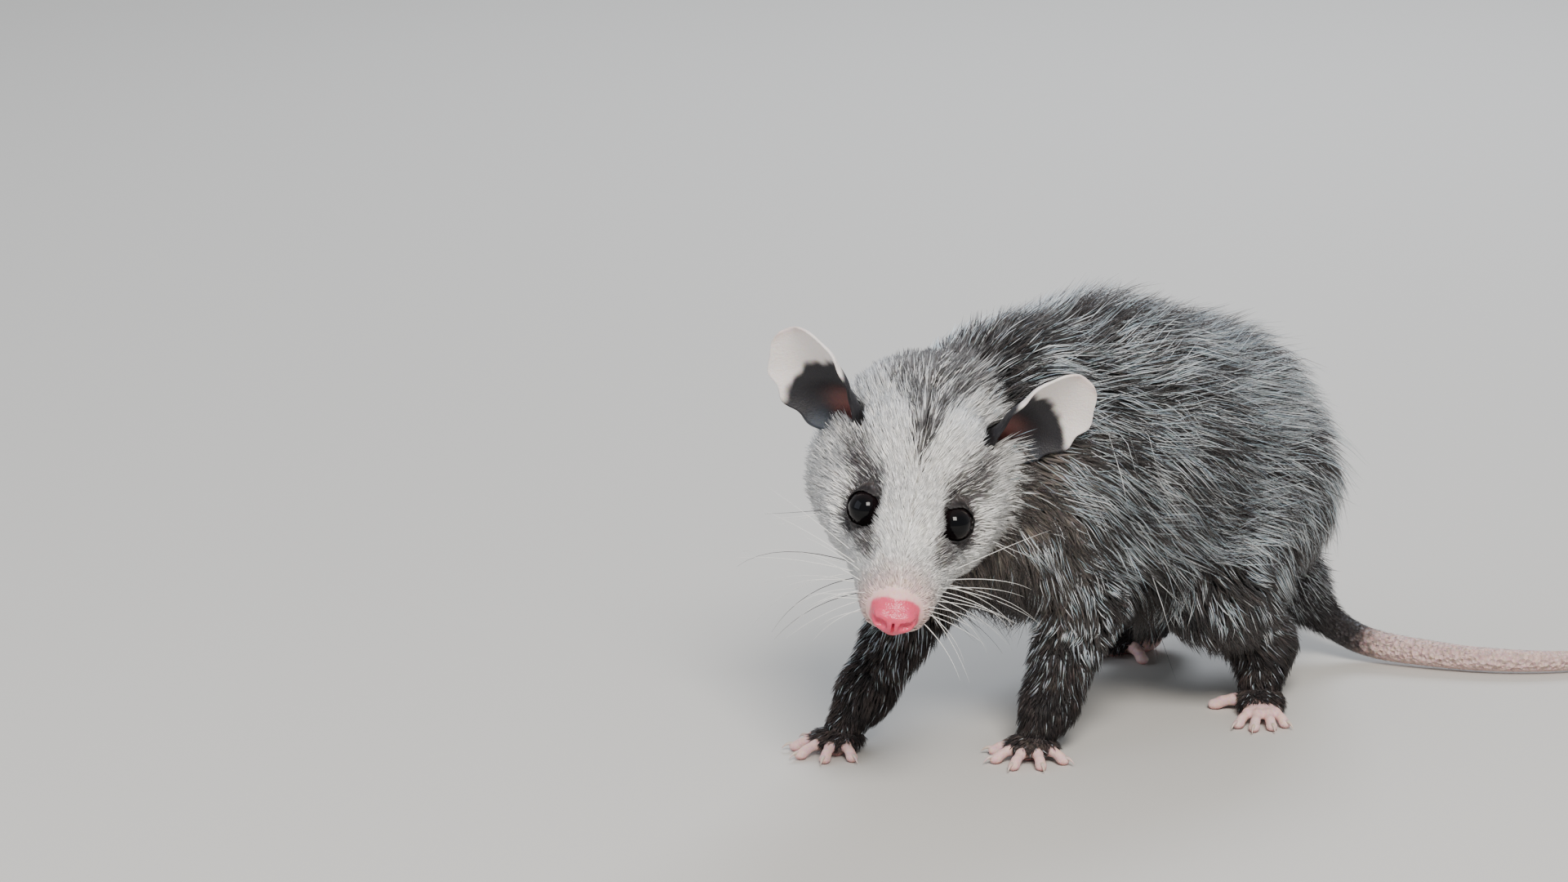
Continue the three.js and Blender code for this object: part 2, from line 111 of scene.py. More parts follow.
def eyeGap(local):
    gaps = [np.linalg.norm(local - mirrored(head["eyePlace"], side), axis=1) for side in (1, -1)]
    return np.min(gaps, axis=0)


leftward = np.array([0.0, 1.0, 0.0])


# Flesh: smooth unions of tapered rods, as (start, end, start radius, end radius, sideways stretch if any)
def rodDistance(points, rod):
    start, end = np.asarray(rod[0], float), np.asarray(rod[1], float)
    along = end - start
    away = points - start
    reach = np.clip(away @ along / (along @ along), 0, 1)
    away = away - reach[:, None] * along
    if len(rod) > 4:
        sideways = unit(leftward - along * (leftward @ along) / (along @ along))
        away = away + (away @ sideways * (1 / rod[4] - 1))[:, None] * sideways
    return np.sqrt(np.einsum("ij,ij->i", away, away)) - (rod[2] + (rod[3] - rod[2]) * reach)


def blend(first, second, softness):
    overlap = np.maximum(softness - np.abs(first - second), 0) / softness
    return np.minimum(first, second) - overlap * overlap * softness / 4


def carve(first, second, softness):
    return -blend(-first, second, softness)


def rodsDistance(points, rods, softness):
    distance = rodDistance(points, rods[0])
    for rod in rods[1:]:
        distance = blend(distance, rodDistance(points, rod), softness)
    return distance


def ballDistance(points, centre, radii):
    scaled = (points - np.asarray(centre, float)) / np.asarray(radii, float)
    return (np.linalg.norm(scaled, axis=1) - 1) * np.min(radii)


# How softly the rods of each part run together, in millimetres
soft = dict(trunk=10, leg=5, hip=7, skull=5, cheek=6, neck=4)
trunkRods = [
    ((-4, 0, 63), (6, 0, 62.5), 21.5, 23, 0.8),
    ((6, 0, 62.5), (28, 0, 59.5), 23, 25.5, 0.9),
    ((28, 0, 59.5), (57, 0, 52), 25.5, 22.5, 0.92),
    ((57, 0, 52), (74, 0, 41), 22.5, 15.5, 0.95),
    ((-6, -1, 70), (-27, -1, 72), 18, 13.5),
]
legJoints = {
    "foreleg_left": [(-4, -13, 54), (6, -17, 33), (-2, -16, 11), (-6.5, -16.6, 5)],
    "foreleg_right": [(-6, 13, 54), (-8, 17.4, 33), (-28.6, 15.3, 12), (-35.5, 15.2, 5)],
    "hindleg_left": [(62, -13, 47), (45, -21, 31), (62, -21, 13), (56, -26, 5)],
    "hindleg_right": [(62, 13, 47), (53, 21, 31), (72, 20, 13), (66, 22.5, 5)],
}
legRadii = {"fore": [9.5, 6.6, 3.9, 3.2], "hind": [15, 9.6, 4.6, 3.7]}


def legRods(name):
    joints, radii = legJoints[name], legRadii[name[:4]]
    return [(joints[i], joints[i + 1], radii[i], radii[i + 1]) for i in range(3)]


def legDistance(points, name):
    return rodsDistance(points, legRods(name), soft["leg"])


def trunkDistance(points):
    distance = rodsDistance(points, trunkRods, soft["trunk"])
    for name in legJoints:
        distance = blend(distance, legDistance(points, name), soft["hip"])
    return distance


headRods = [
    ((-6, 0, 1), (8, 0, 1.5), 14, 13.3, 1.08),
    ((8, 0, 1.5), (26, 0, -0.5), 13, 9.3),
    ((24, 0, -1.5), (45, 0, -6.4), 9.0, 5.5),
    ((2, 0, -9), (40, 0, -9.4), 9, 3.6, 1.1),
]
cheekRods = [rod for side in (1, -1) for rod in (
    ((2, 10 * side, -3), (16, 8.5 * side, -5.5), 9.5, 6),
    ((5, 9 * side, -9), (20, 6.2 * side, -8.5), 9.8, 6.3),
    ((30, 4 * side, -6.6), (41.5, 2.2 * side, -7.4), 5.8, 3.5))]
cheekCoats = [(5.0, 3.5), (5.0, 3.5), (0.9, 0.7)] * 2


def eyeAxis(side):
    return unit(mirrored(head["eyeAim"], side))


def skullDistance(local):
    distance = rodsDistance(local, headRods, soft["skull"])
    for rod in cheekRods:
        distance = blend(distance, rodDistance(local, rod), soft["cheek"])
    return distance


def nostrilDistance(local, side, depth):
    # A comma-shaped hole that runs outward from the pad's middle, sunk by a depth
    return rodDistance(local, ((52.4 - depth, 2.2 * side, -4.9), (50.4 - depth, 4.9 * side, -4.4), 1.0, 0.55))


def headDistance(local):
    distance = addNose(skullDistance(local), local)
    for side in (1, -1):
        distance = addLids(distance, local, side)
    return distance


def addNose(distance, local):
    # The bare pad, its middle groove and the nostrils, then the mouth's line
    local = local + (0, 0, head["noseDrop"])
    pad = ballDistance(local, (49.4, 0, -5.0), (3.3, 4.4, 3.1))
    pad = blend(pad, ballDistance(local, (49.0, 0, -7.0), (2.2, 1.9, 2.2)), 1.2)
    for side in (1, -1):
        pad = blend(pad, ballDistance(local, (49.3, 2.7 * side, -4.5), (2.6, 2.1, 2.5)), 0.7)
    distance = blend(distance, pad, 0.9)
    groove = np.maximum(np.abs(local[:, 1]) - 0.22, np.abs(local[:, 2] + 7.4) - 3.4)
    distance = carve(distance, np.maximum(groove, 50.6 - local[:, 0] - 0.35 * (local[:, 2] + 5)), 0.5)
    for side in (1, -1):
        distance = carve(distance, nostrilDistance(local, side, 0.5), 0.5)
    mouthLevel = -9.2 - 1.4 * smoothstep(44, 20, local[:, 0]) + 0.5 * np.cos(local[:, 0] * 0.24)
    lip = np.maximum(np.abs(local[:, 2] - mouthLevel) - 0.16, 21 - local[:, 0])
    return carve(distance, np.maximum(lip, -distance - 0.7), 0.45)


def addLids(distance, local, side):
    # A shallow hollow for the eye with a rolled lid round it, and a corner drawn out toward the nose
    centre, axis = mirrored(head["eyePlace"], side), eyeAxis(side)
    away = local - centre
    depth = away @ axis
    upward = unit(np.array([0, 0, 1.0]) - axis * axis[2])
    sideways = np.cross(upward, axis) * side
    across, above = away @ sideways, away @ upward
    radius = np.linalg.norm(away, axis=1)
    distance = blend(distance, ballDistance(local, centre, (4.6, 4.6, 4.6)), 2.5)
    hollow = ballDistance(local, centre + axis * 6.6 - sideways * 1.2, (6.3, 6.3, 6.3))
    distance = carve(distance, np.maximum(hollow, -depth), 1.6)
    lid = np.abs(np.hypot(across * 0.90, above * 1.02) - 3.85) - 0.4
    lid = np.maximum(lid, np.abs(radius - 4.4) - 0.36)
    distance = blend(distance, np.maximum(lid, 0.8 - depth), 0.6)
    corner = rodDistance(
        away, (axis * 3.0 - sideways * 3.4, axis * 2.2 - sideways * 5.0 - upward * 0.7, 0.75, 0.3))
    distance = carve(distance, corner, 0.5)
    distance = carve(distance, radius - 4.22, 0.12)
    opening = np.maximum(np.hypot(across / 4.15, above / 3.55) * 3.6 - 3.6, 0.4 - depth)
    return carve(distance, opening, 0.35)


# Feet: palm, arched toes and pads
footPlans = {
    "forefoot_left": dict(sole=(-8, -17), aim=22, inward=-1),
    "forefoot_right": dict(sole=(-37, 15), aim=-6, inward=1),
    "hindfoot_left": dict(sole=(53, -29), aim=45, inward=-1),
    "hindfoot_right": dict(sole=(62, 25), aim=-25, inward=1),
}
footKinds = {
    "fore": dict(palm=(5.2, 4.6), toeLength=7.5, angles=(-78, -36, 0, 36, 76)),
    "hind": dict(palm=(8.2, 4.6), toeLength=8.5, angles=(-34, -12, 10, 32, 96)),
}


def toFoot(points, plan):
    # A foot's own axes: x to the middle toe, y across, z up
    turn = math.pi + math.radians(plan["aim"])
    away = points - np.array([*plan["sole"], 0.0])
    along = away[:, 0] * math.cos(turn) + away[:, 1] * math.sin(turn)
    aside = -away[:, 0] * math.sin(turn) + away[:, 1] * math.cos(turn)
    return np.stack([along, aside, away[:, 2]], axis=1)


def fromFoot(local, plan):
    turn = math.pi + math.radians(plan["aim"])
    local = np.atleast_2d(local)
    x = local[:, 0] * math.cos(turn) - local[:, 1] * math.sin(turn) + plan["sole"][0]
    y = local[:, 0] * math.sin(turn) + local[:, 1] * math.cos(turn) + plan["sole"][1]
    return np.stack([x, y, local[:, 2]], axis=1)


def toePoints(name, toe):
    kind = footKinds[name[:4]]
    thumb = name.startswith("hind") and toe == 4
    turn = math.radians(kind["angles"][toe] * footPlans[name]["inward"])
    length = kind["toeLength"] * (1 - 0.12 * abs(toe - 2) * (0.4 if thumb else 1))
    base = kind["palm"][1] - 1.4
    ahead = -1 if thumb else kind["palm"][0] - kind["palm"][1]

    def onToe(reach, height):
        return (math.cos(turn) * (base + reach) + ahead, math.sin(turn) * (base + reach), height)

    joints = [onToe(-1.5, 2.3), onToe(length * 0.38, 2.6), onToe(length * 0.72, 1.9), onToe(length, 1.15)]
    return joints, onToe, length, thumb


def footDistance(local, name):
    kind = footKinds[name[:4]]
    distance = ballDistance(local, (0, 0, 2.6), (*kind["palm"], 2.8))
    if name.startswith("hind"):
        distance = blend(distance, ballDistance(local, (-5.5, 0, 3.2), (4.6, 3.4, 3.2)), 2.5)
    for toe in range(5):
        joints, onToe, length, thumb = toePoints(name, toe)
        fat = 1.15 if thumb else 1.0
        thick = [radius * fat for radius in (1.5, 1.12, 1.0, 0.95)]
        one = rodsDistance(local, [(joints[i], joints[i + 1], thick[i], thick[i + 1]) for i in range(3)], 0.7)
        one = blend(one, ballDistance(local, onToe(length * 0.9, 1.0), (1.3 * fat, 1.3 * fat, 1.0)), 0.5)
        crease = np.abs(np.linalg.norm(local[:, :2] - np.array(onToe(length * 0.5, 0)[:2]), axis=1) - 0.2)
        distance = blend(distance, one + 0.10 * np.exp(-(crease / 0.25) ** 2), 0.9)
    for side in (-1, 0, 1):
        distance = blend(distance, ballDistance(local, (2.4, 2.6 * side, 0.9), (1.7, 1.2, 1.0)), 0.5)
    return distance


# The tail: a curve through chosen points, its radius falling to the tip
tailPoints = [
    (72, 0, 37), (84, -2, 26), (92, -8, 13.5), (99, -18, 5.5), (107, -33, 3.7),
    (117, -47, 3.2), (130, -57, 2.8), (144, -61, 2.2), (156, -57, 1.6),
]


def curveThrough(points, count):
    # A smooth curve through every point, cut into even steps
    points = np.asarray(points, float)
    padded = np.vstack([2 * points[0] - points[1], points, 2 * points[-1] - points[-2]])
    out = []
    for share in np.linspace(0, len(points) - 1, count):
        i = min(int(share), len(points) - 2)
        t = share - i
        a, b, c, d = padded[i:i + 4]
        out.append(0.5 * (2 * b + (c - a) * t + (2 * a - 5 * b + 4 * c - d) * t * t
                          + (3 * b - a - 3 * c + d) * t ** 3))
    out = np.array(out)
    steps = np.concatenate([[0], np.cumsum(np.linalg.norm(np.diff(out, axis=0), axis=1))])
    even = np.linspace(0, steps[-1], count)
    return np.stack([np.interp(even, steps, out[:, axis]) for axis in range(3)], axis=1)


tailCentres = curveThrough(tailPoints, 220)


def tailRadius(share):
    return 4.4 - 2.7 * share + 4.0 * np.exp(-(share / 0.10) ** 2)


def sweep(centres, radii, sides, firstAcross=(0, 0, 1), ends=None):
    # Rings round a line, closed at both ends by a point, in front of and behind the rings if none is given
    tangents = unit(np.gradient(centres, axis=0))
    across = np.asarray(firstAcross, float)
    angles = np.linspace(0, 2 * math.pi, sides, endpoint=False)
    rings = []
    for centre, tangent, radius in zip(centres, tangents, radii):
        across = unit(across - tangent * (across @ tangent))
        circle = np.cos(angles)[:, None] * across + np.sin(angles)[:, None] * np.cross(tangent, across)
        rings.append(centre + circle * radius)
    if ends is None:
        ends = (centres[0] - tangents[0] * radii[0] * 0.5, centres[-1] + tangents[-1] * radii[-1] * 0.6)
    vertices = np.vstack([[ends[0]], *rings, [ends[1]]])
    ring = 1 + np.arange(len(centres) - 1)[:, None] * sides
    side = np.arange(sides)
    after = (side + 1) % sides
    quads = np.stack([ring + side, ring + after, ring + sides + after, ring + sides + side], axis=-1)
    last = 1 + (len(centres) - 1) * sides
    caps = [(0, 1 + b, 1 + a) for a, b in zip(side, after)]
    caps += [(len(vertices) - 1, last + a, last + b) for a, b in zip(side, after)]
    return vertices, quads.reshape(-1, 4), caps


# Meshing: a closed surface net round the region where the field is below zero
def surfaceNet(field, low, high, step):
    low = np.asarray(low, float)
    counts = np.ceil((np.asarray(high, float) - low) / step).astype(int) + 1

    # The field is worked out on a coarse grid first, and finely only near the surface
    coarse = 4
    blocks = np.ceil(counts / coarse).astype(int) + 1
    lines = [low[i] + step * coarse * np.arange(blocks[i]) for i in range(3)]
    corners = np.stack(np.meshgrid(*lines, indexing="ij"), -1)
    rough = field(corners.reshape(-1, 3)).reshape(blocks)
    nearBand = np.abs(rough) < step * coarse * 1.9
    near = np.zeros_like(nearBand)
    for offset in np.ndindex(3, 3, 3):
        near |= np.roll(nearBand, np.array(offset) - 1, axis=(0, 1, 2))

    def spread(grid):
        for axis in range(3):
            grid = np.repeat(grid, coarse, axis)
        return grid[:counts[0], :counts[1], :counts[2]].copy()

    values = spread(rough)
    cells = np.argwhere(spread(near))
    values[tuple(cells.T)] = field(low + cells * step)
    for axis in range(3):
        for end in (0, -1):
            index = [slice(None)] * 3
            index[axis] = end
            values[tuple(index)] = np.maximum(values[tuple(index)], 1e-3)

    # Each cell that the surface crosses gets a vertex, at the mean of its crossed edges
    inside = values < 0
    total = np.zeros(tuple(counts - 1), int)
    for i, j, k in np.ndindex(2, 2, 2):
        total += inside[i:counts[0] - 1 + i, j:counts[1] - 1 + j, k:counts[2] - 1 + k]
    crossed = (total > 0) & (total < 8)
    cells = np.argwhere(crossed)
    number = -np.ones(crossed.shape, int)
    number[crossed] = np.arange(len(cells))
    places = np.zeros((len(cells), 3))
    found = np.zeros(len(cells))
    for corner in np.ndindex(2, 2, 2):
        for axis in range(3):
            if corner[axis]:
                continue
            other = list(corner)
            other[axis] = 1
            first = values[tuple((cells + corner).T)]
            second = values[tuple((cells + other).T)]
            cuts = (first < 0) != (second < 0)
            share = np.where(cuts, first / np.where(cuts, first - second, 1), 0)
            spot = np.array(corner) + share[:, None] * (np.array(other) - corner)
            places[cuts] += spot[cuts]
            found[cuts] += 1
    vertices = (cells + places / found[:, None]) * step + low

    # Each crossed edge of the grid gets a face between the four cells round it
    quads = []
    for axis in range(3):
        before, beyond = [slice(None)] * 3, [slice(None)] * 3
        before[axis], beyond[axis] = slice(0, -1), slice(1, None)
        edges = np.argwhere(inside[tuple(before)] != inside[tuple(beyond)])
        u, v = (axis + 1) % 3, (axis + 2) % 3
        leaving = inside[tuple(before)][tuple(edges.T)]

        def cellBack(du, dv):
            at = edges.copy()
            at[:, u] -= du
            at[:, v] -= dv
            return number[tuple(at.T)]

        around = np.stack([cellBack(1, 1), cellBack(0, 1), cellBack(0, 0), cellBack(1, 0)], axis=1)
        around[~leaving] = around[~leaving][:, ::-1]
        quads.append(around)
    return vertices, np.concatenate(quads)


def makeMesh(name, vertices, quads=(), triangles=()):
    mesh = bpy.data.meshes.new(name)
    quads = np.asarray(quads, int).reshape(-1, 4)
    triangles = np.asarray(triangles, int).reshape(-1, 3)
    placed = (np.asarray(vertices) + shift) / 1000
    loops = np.concatenate([quads.ravel(), triangles.ravel()]).astype(np.int32)
    sizes = np.concatenate([np.full(len(quads), 4), np.full(len(triangles), 3)]).astype(np.int32)
    mesh.vertices.add(len(placed))
    mesh.vertices.foreach_set("co", placed.astype(np.float32).ravel())
    mesh.loops.add(len(loops))
    mesh.loops.foreach_set("vertex_index", loops)
    mesh.polygons.add(len(sizes))
    mesh.polygons.foreach_set("loop_start", np.concatenate([[0], np.cumsum(sizes)[:-1]]).astype(np.int32))
    mesh.update(calc_edges=True)
    mesh.polygons.foreach_set("use_smooth", np.ones(len(sizes), bool))
    piece = bpy.data.objects.new(name, mesh)
    bpy.context.scene.collection.objects.link(piece)
    return piece


def meshPoints(piece):
    points = np.empty(len(piece.data.vertices) * 3, np.float32)
    piece.data.vertices.foreach_get("co", points)
    return points.reshape(-1, 3).astype(float) * 1000 - shift


def setColours(piece, colours):
    # The colours hold the markings, with painted shade and a painted sky reflection where a piece has them
    attribute = piece.data.attributes.new("markingsAndPaintedLight", "FLOAT_COLOR", "POINT")
    rgba = np.ones((len(colours), 4), np.float32)
    rgba[:, :3] = np.clip(colours, 0, 1)
    attribute.data.foreach_set("color", rgba.ravel())


def setFloats(piece, name, values):
    attribute = piece.data.attributes.new(name, "FLOAT", "POINT")
    attribute.data.foreach_set("value", np.asarray(values, np.float32))


# Ears: a thin leaf rolled into a cup at its base, rippled within and thick toward the head
earLeaf = dict(length=25.5, halfWidth=11.4, base=(-1.0, 15.5, 6.0), curlAtBase=105, curlAtTip=28,
               rows=56, columns=48)


def earFrame(side):
    upEar = unit((-0.1, 0.66 * side, 0.74))
    hollow = np.array([0.86, 0.5 * side, 0.05])
    hollow = unit(hollow - upEar * (hollow @ upEar))
    return upEar, hollow, np.cross(upEar, hollow), mirrored(earLeaf["base"], side)


def earSurface(rise, across, side, layer):
    upEar, hollow, aside, base = earFrame(side)
    curl = np.radians(earLeaf["curlAtBase"] + (earLeaf["curlAtTip"] - earLeaf["curlAtBase"]) * np.sqrt(rise))
    below = 0.62 + 0.38 * np.sin(np.minimum(rise, 0.5) * math.pi)
    above = np.sqrt(np.maximum(1 - ((rise - 0.5) / 0.515) ** 2, 0.0009))
    halfWidth = earLeaf["halfWidth"] * np.where(rise < 0.5, below, above)
    outerSide = across * side
    halfWidth = halfWidth * (1 - 0.05 * np.cos(rise * 22) * smoothstep(0.5, 1, np.abs(across)))
    radius = halfWidth / curl
    turn = across * curl
    edge = smoothstep(0.82, 1.0, np.maximum(np.abs(across), rise))
    thickness = 0.75 + 1.4 * (1 - smoothstep(0, 0.3, rise)) - 0.2 * edge
    ripple = 0.42 * np.sin(rise * 17 + across * 1.5) * smoothstep(0.95, 0.3, np.abs(across + 0.15 * side))
    ripple = ripple * smoothstep(0.12, 0.3, rise) * smoothstep(0.72, 0.45, rise)
    rollIn = 0.9 * smoothstep(0.88, 1.0, -outerSide) * smoothstep(0.9, 0.5, rise)
    reach = radius - layer * thickness - ripple
    place = base + rise[..., None] * earLeaf["length"] * upEar
    place = place + (np.sin(turn) * reach)[..., None] * aside
    place = place + (radius - np.cos(turn) * reach + rollIn)[..., None] * hollow
    return inHead(place)


def earMesh(side):
    rows, columns = earLeaf["rows"], earLeaf["columns"]
    rise, across = np.meshgrid(np.linspace(0, 1, rows + 1), np.linspace(-1, 1, columns + 1), indexing="ij")
    layers = [earSurface(rise, across, side, layer).reshape(-1, 3) for layer in (-0.5, 0.5)]
    sheet = (rows + 1) * (columns + 1)

    def face(*corners):
        # Corners as (layer, row, column), each a number or an array
        flat = [layer * sheet + row * (columns + 1) + column for layer, row, column in corners]
        return np.stack(flat, 1)

    row, column = (grid.ravel() for grid in np.meshgrid(np.arange(rows), np.arange(columns), indexing="ij"))
    r, c = np.arange(rows), np.arange(columns)
    quads = [
        face((0, row + 1, column), (0, row + 1, column + 1), (0, row, column + 1), (0, row, column)),
        face((1, row, column), (1, row, column + 1), (1, row + 1, column + 1), (1, row + 1, column)),
        face((0, r, 0), (1, r, 0), (1, r + 1, 0), (0, r + 1, 0)),
        face((0, r + 1, columns), (1, r + 1, columns), (1, r, columns), (0, r, columns)),
        face((0, 0, c + 1), (1, 0, c + 1), (1, 0, c), (0, 0, c)),
        face((0, rows, c), (1, rows, c), (1, rows, c + 1), (0, rows, c + 1)),
    ]
    layerOf = np.repeat([-1.0, 1.0], sheet)
    shares = np.stack([np.tile(rise.ravel(), 2), np.tile(across.ravel(), 2), layerOf], axis=1)
    return np.vstack(layers), np.concatenate(quads), shares


def join(base, other):
    modifier = base.modifiers.new("join", "BOOLEAN")
    modifier.operation = "UNION"
    modifier.solver = "MANIFOLD"
    modifier.object = other
    bpy.context.view_layer.objects.active = base
    with bpy.context.temp_override(object=base, active_object=base):
        bpy.ops.object.modifier_apply(modifier=modifier.name)
    bpy.data.objects.remove(other)


# The skin: nets with cells of these sizes, and the tail and ears, joined into one
skinSteps = dict(body=1.7, head=0.55, foot=0.42)


def makeSkin():
    vertices, quads = surfaceNet(trunkDistance, (-50, -45, 1.5), (100, 45, 95), skinSteps["body"])
    skin = makeMesh("skin", vertices, quads)
    stage(f"body net {len(vertices)}")
    vertices, quads = surfaceNet(headDistance, (-24, -23, -22), (56, 23, 19), skinSteps["head"])
    join(skin, makeMesh("headPart", inHead(vertices), quads))
    stage(f"head net {len(vertices)}")
    for name, plan in footPlans.items():
        vertices, quads = surfaceNet(
            lambda at: footDistance(at, name), (-13, -17, 0), (20, 17, 8), skinSteps["foot"])
        vertices[:, 2] = np.maximum(vertices[:, 2], 0)
        join(skin, makeMesh("footPart", fromFoot(vertices, plan), quads))
    radii = tailRadius(np.linspace(0, 1, len(tailCentres)))
    centres = tailCentres.copy()
    centres[:, 2] = np.maximum(centres[:, 2], radii)
    join(skin, makeMesh("tailPart", *sweep(centres, radii, 28)))
    for side in (1, -1):
        join(skin, makeMesh("earPart", *earMesh(side)[:2]))
    stage(f"skin joined, {len(skin.data.vertices)} vertices")
    return skin


skin = makeSkin()


def shaderOf(name, colour, sockets):
    material = bpy.data.materials.new(name)
    material.use_nodes = True
    shader = material.node_tree.nodes["Principled BSDF"]
    shader.inputs["Base Color"].default_value = (*linear(colour), 1)
    for socket, value in sockets.items():
        shader.inputs[socket].default_value = value
    return material, material.node_tree, shader


def addNode(tree, kind, values, links=None):
    # Settings and links go by name, or by number where a node's sockets share a name
    node = tree.nodes.new(kind)
    for key, value in values.items():
        if isinstance(key, str) and hasattr(node, key):
            setattr(node, key, value)
        else:
            node.inputs[key].default_value = value
    for key, source in (links or {}).items():
        tree.links.new(source, node.inputs[key])
    return node


def patternScale(millimetres):
    # A pattern's scale, from the real size of its cells
    return 1000 / millimetres


def grainOver(tree, shader, colour, cell, share, detail):
    # Unevenness of a real size laid over a colour, given as a node's output or as hex
    place = addNode(tree, "ShaderNodeNewGeometry", {})
    grain = addNode(tree, "ShaderNodeTexNoise", {"Scale": patternScale(cell), "Detail": detail},
                    {"Vector": place.outputs["Position"]})
    # The colour sockets of a mix node come after its float and vector ones
    tinted = addNode(tree, "ShaderNodeMix", {"data_type": "RGBA", "blend_type": "OVERLAY", 0: share},
                     {7: grain.outputs["Color"]})
    if isinstance(colour, str):
        tinted.inputs[6].default_value = (*linear(colour), 1)
    else:
        tree.links.new(colour, tinted.inputs[6])
    tree.links.new(tinted.outputs[2], shader.inputs["Base Color"])
    return place, grain


def dress(piece, material):
    piece.data.materials.append(material)
    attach(piece, "root")


# Markings, and painted shade in the nostrils: the same colours on skin and coat, worked out from a point's
# place
facePaint = dict(white="#f6f4f0", cream="#e6ded2", cheek="#b5b1ae", chin="#8f8a86", patch="#3b3331",
                 stripe="#2f2a2a", nape="#4a4442", snout="#e3bcb3", dots="#6d5553", lids="#1a1516")
# The nostril colour is painted shade in the nostril openings
nosePaint = dict(rim="#e9b2ac", pad="#e2506c", nostril="#4a1c22")
bodyPaint = dict(back="#242325", flank="#453c38", shoulder="#93887f")
footPaint = dict(ankle="#3a2f2e", toes="#e3bcb3", lilac="#cfa6b4", tips="#e8cfcb", sole="#c98f8c")
tailPaint = dict(root="#262122", scales="#d8b9b2", tip="#e6cfc8")
earPaint = dict(black="#19171c", pale="#efe6e1", lobe="#3a4450", rim="#e0b8ad", canal="#84504a")


def layered(paint, colour, **shares):
    # Over a first colour, each named paint by its share, in the order given
    for name, share in shares.items():
        colour = mix(colour, linear(paint[name]), share)
    return colour


def waves(points, scale, seed):
    # Smooth uneven noise between -1 and 1, from a few crossed sine waves
    source = np.random.default_rng(seed)
    total = np.zeros(len(points))
    for octave in range(4):
        ways = unit(source.normal(size=(3, 3))) / (scale * 0.62 ** octave)
        phases = points @ ways.T * 6.283 + source.uniform(0, 6.283, 3)
        total += np.sin(phases).prod(axis=1) * 0.8 ** octave
    return np.clip(total / 1.4, -1, 1)


def streakShare(local, start, end, startWidth, endWidth, edge):
    # 1 on a tapered streak between two points, falling to 0 over the soft edge
    return smoothstep(edge, -edge * 0.4, rodDistance(local, (start, end, startWidth, endWidth)))


def faceColour(local, chance=None):
    # With a chance for each hair, dark and light hairs mingle instead of blending to grey
    def mingled(share):
        share = np.clip(share, 0, 1)
        return share if chance is None else np.where(share > chance, 0.75 + 0.25 * share, 0.25 * share)

    uneven, fine = waves(local, 5.0, 3), waves(local, 1.7, 4)
    x, aside, z = local[:, 0], np.abs(local[:, 1]), local[:, 2]
    oneSide = np.stack([x, aside, z], axis=1)
    cheek = smoothstep(-2, -12, z) * smoothstep(24, 4, x)
    # A dark patch rings the eye and runs on toward the nose and toward the ear
    eye = np.array(head["eyePlace"])
    ring = smoothstep(8.4, 6.1, np.linalg.norm(oneSide - eye - (1.0, -0.3, 0.2), axis=1))
    inner = streakShare(oneSide, eye + (4.5, -2.0, 0), eye + (12, -3.6, -2.0), 4.4, 1.8, 2.2)
    outer = streakShare(oneSide, eye + (-1.5, -0.4, 3.0), eye + (-11, 1.0, 6.2), 4.6, 2.0, 3.0)
    patch = np.maximum(np.maximum(ring * 1.05, inner * 0.85), outer * 0.66)
    # A dark wedge on the brow widens to the nape
    wedge = 6.4 * smoothstep(20, -6, x) + 0.3
    stripe = smoothstep(1.6, -0.8, aside - wedge + fine * 1.2) * smoothstep(-1, 3, z) * smoothstep(23, 17, x)
    streaked = 0.66 + 0.34 * np.sin(local[:, 1] * 4.5 + uneven * 3)
    nape = smoothstep(2, -11, x) * smoothstep(-4, 6, z) * 0.66
    throat = smoothstep(10, -9, x + 0.4 * (z + 6) + 2.5 * uneven) * 0.62
    dots = smoothstep(0.55, 0.95, waves(local, 1.15, 9)) * smoothstep(31, 36, x)
    dots = dots * smoothstep(2.5, 4.5, aside) * smoothstep(47, 44, x)
    return layered(
        facePaint, linear(facePaint["white"]), cream=smoothstep(0.1, 1.2, uneven) * 0.5,
        cheek=cheek * (0.55 + 0.2 * fine), chin=smoothstep(-12, -20, z) * 0.6,
        patch=mingled(patch * (1.0 + 0.2 * fine)), stripe=mingled(stripe * streaked * 1.3),
        nape=mingled(np.maximum(nape, throat)), snout=smoothstep(39, 47, x) * 0.7, dots=dots * 0.5)


def padShare(local):
    # 1 on the bare nose pad, whose upper edge dips in the middle
    level, aside = local[:, 2] + head["noseDrop"], np.abs(local[:, 1])
    edge = local[:, 0] + 0.26 * aside + 0.10 * np.minimum(level + 4, 0)
    return smoothstep(48.0, 48.5, edge) * smoothstep(-10.2, -9.2, level) * smoothstep(5.6, 5.0, aside)


def noseColour(local, colour):
    onPad = padShare(local)
    rim = smoothstep(44.5, 47.0, local[:, 0]) * (1 - onPad)
    local = local + (0, 0, head["noseDrop"])
    colour = layered(nosePaint, colour, rim=rim * 0.7)
    colour = mix(colour, linear(nosePaint["pad"]) * (0.95 + 0.04 * waves(local, 1.3, 5)[:, None]), onPad)
    # The nostrils are darkened as painted shade of their openings
    for side in (1, -1):
        nostrilShadeShare = smoothstep(0.25, -0.3, nostrilDistance(local, side, 0))
        colour = layered(nosePaint, colour, nostril=nostrilShadeShare * 0.9)
    return colour


def bodyColour(points):
    # Near-black along the back, warmer on the flanks, brown-grey at shoulder and throat
    x, z = points[:, 0], points[:, 2]
    warm = waves(points, 16, 11) - 0.8 * smoothstep(62, 82, z)
    shoulder = smoothstep(8, -14, x) * smoothstep(82, 64, z) * smoothstep(24, 40, z)
    return layered(
        bodyPaint, linear(bodyPaint["back"]), flank=smoothstep(-0.6, 0.8, warm), shoulder=shoulder * 0.75)


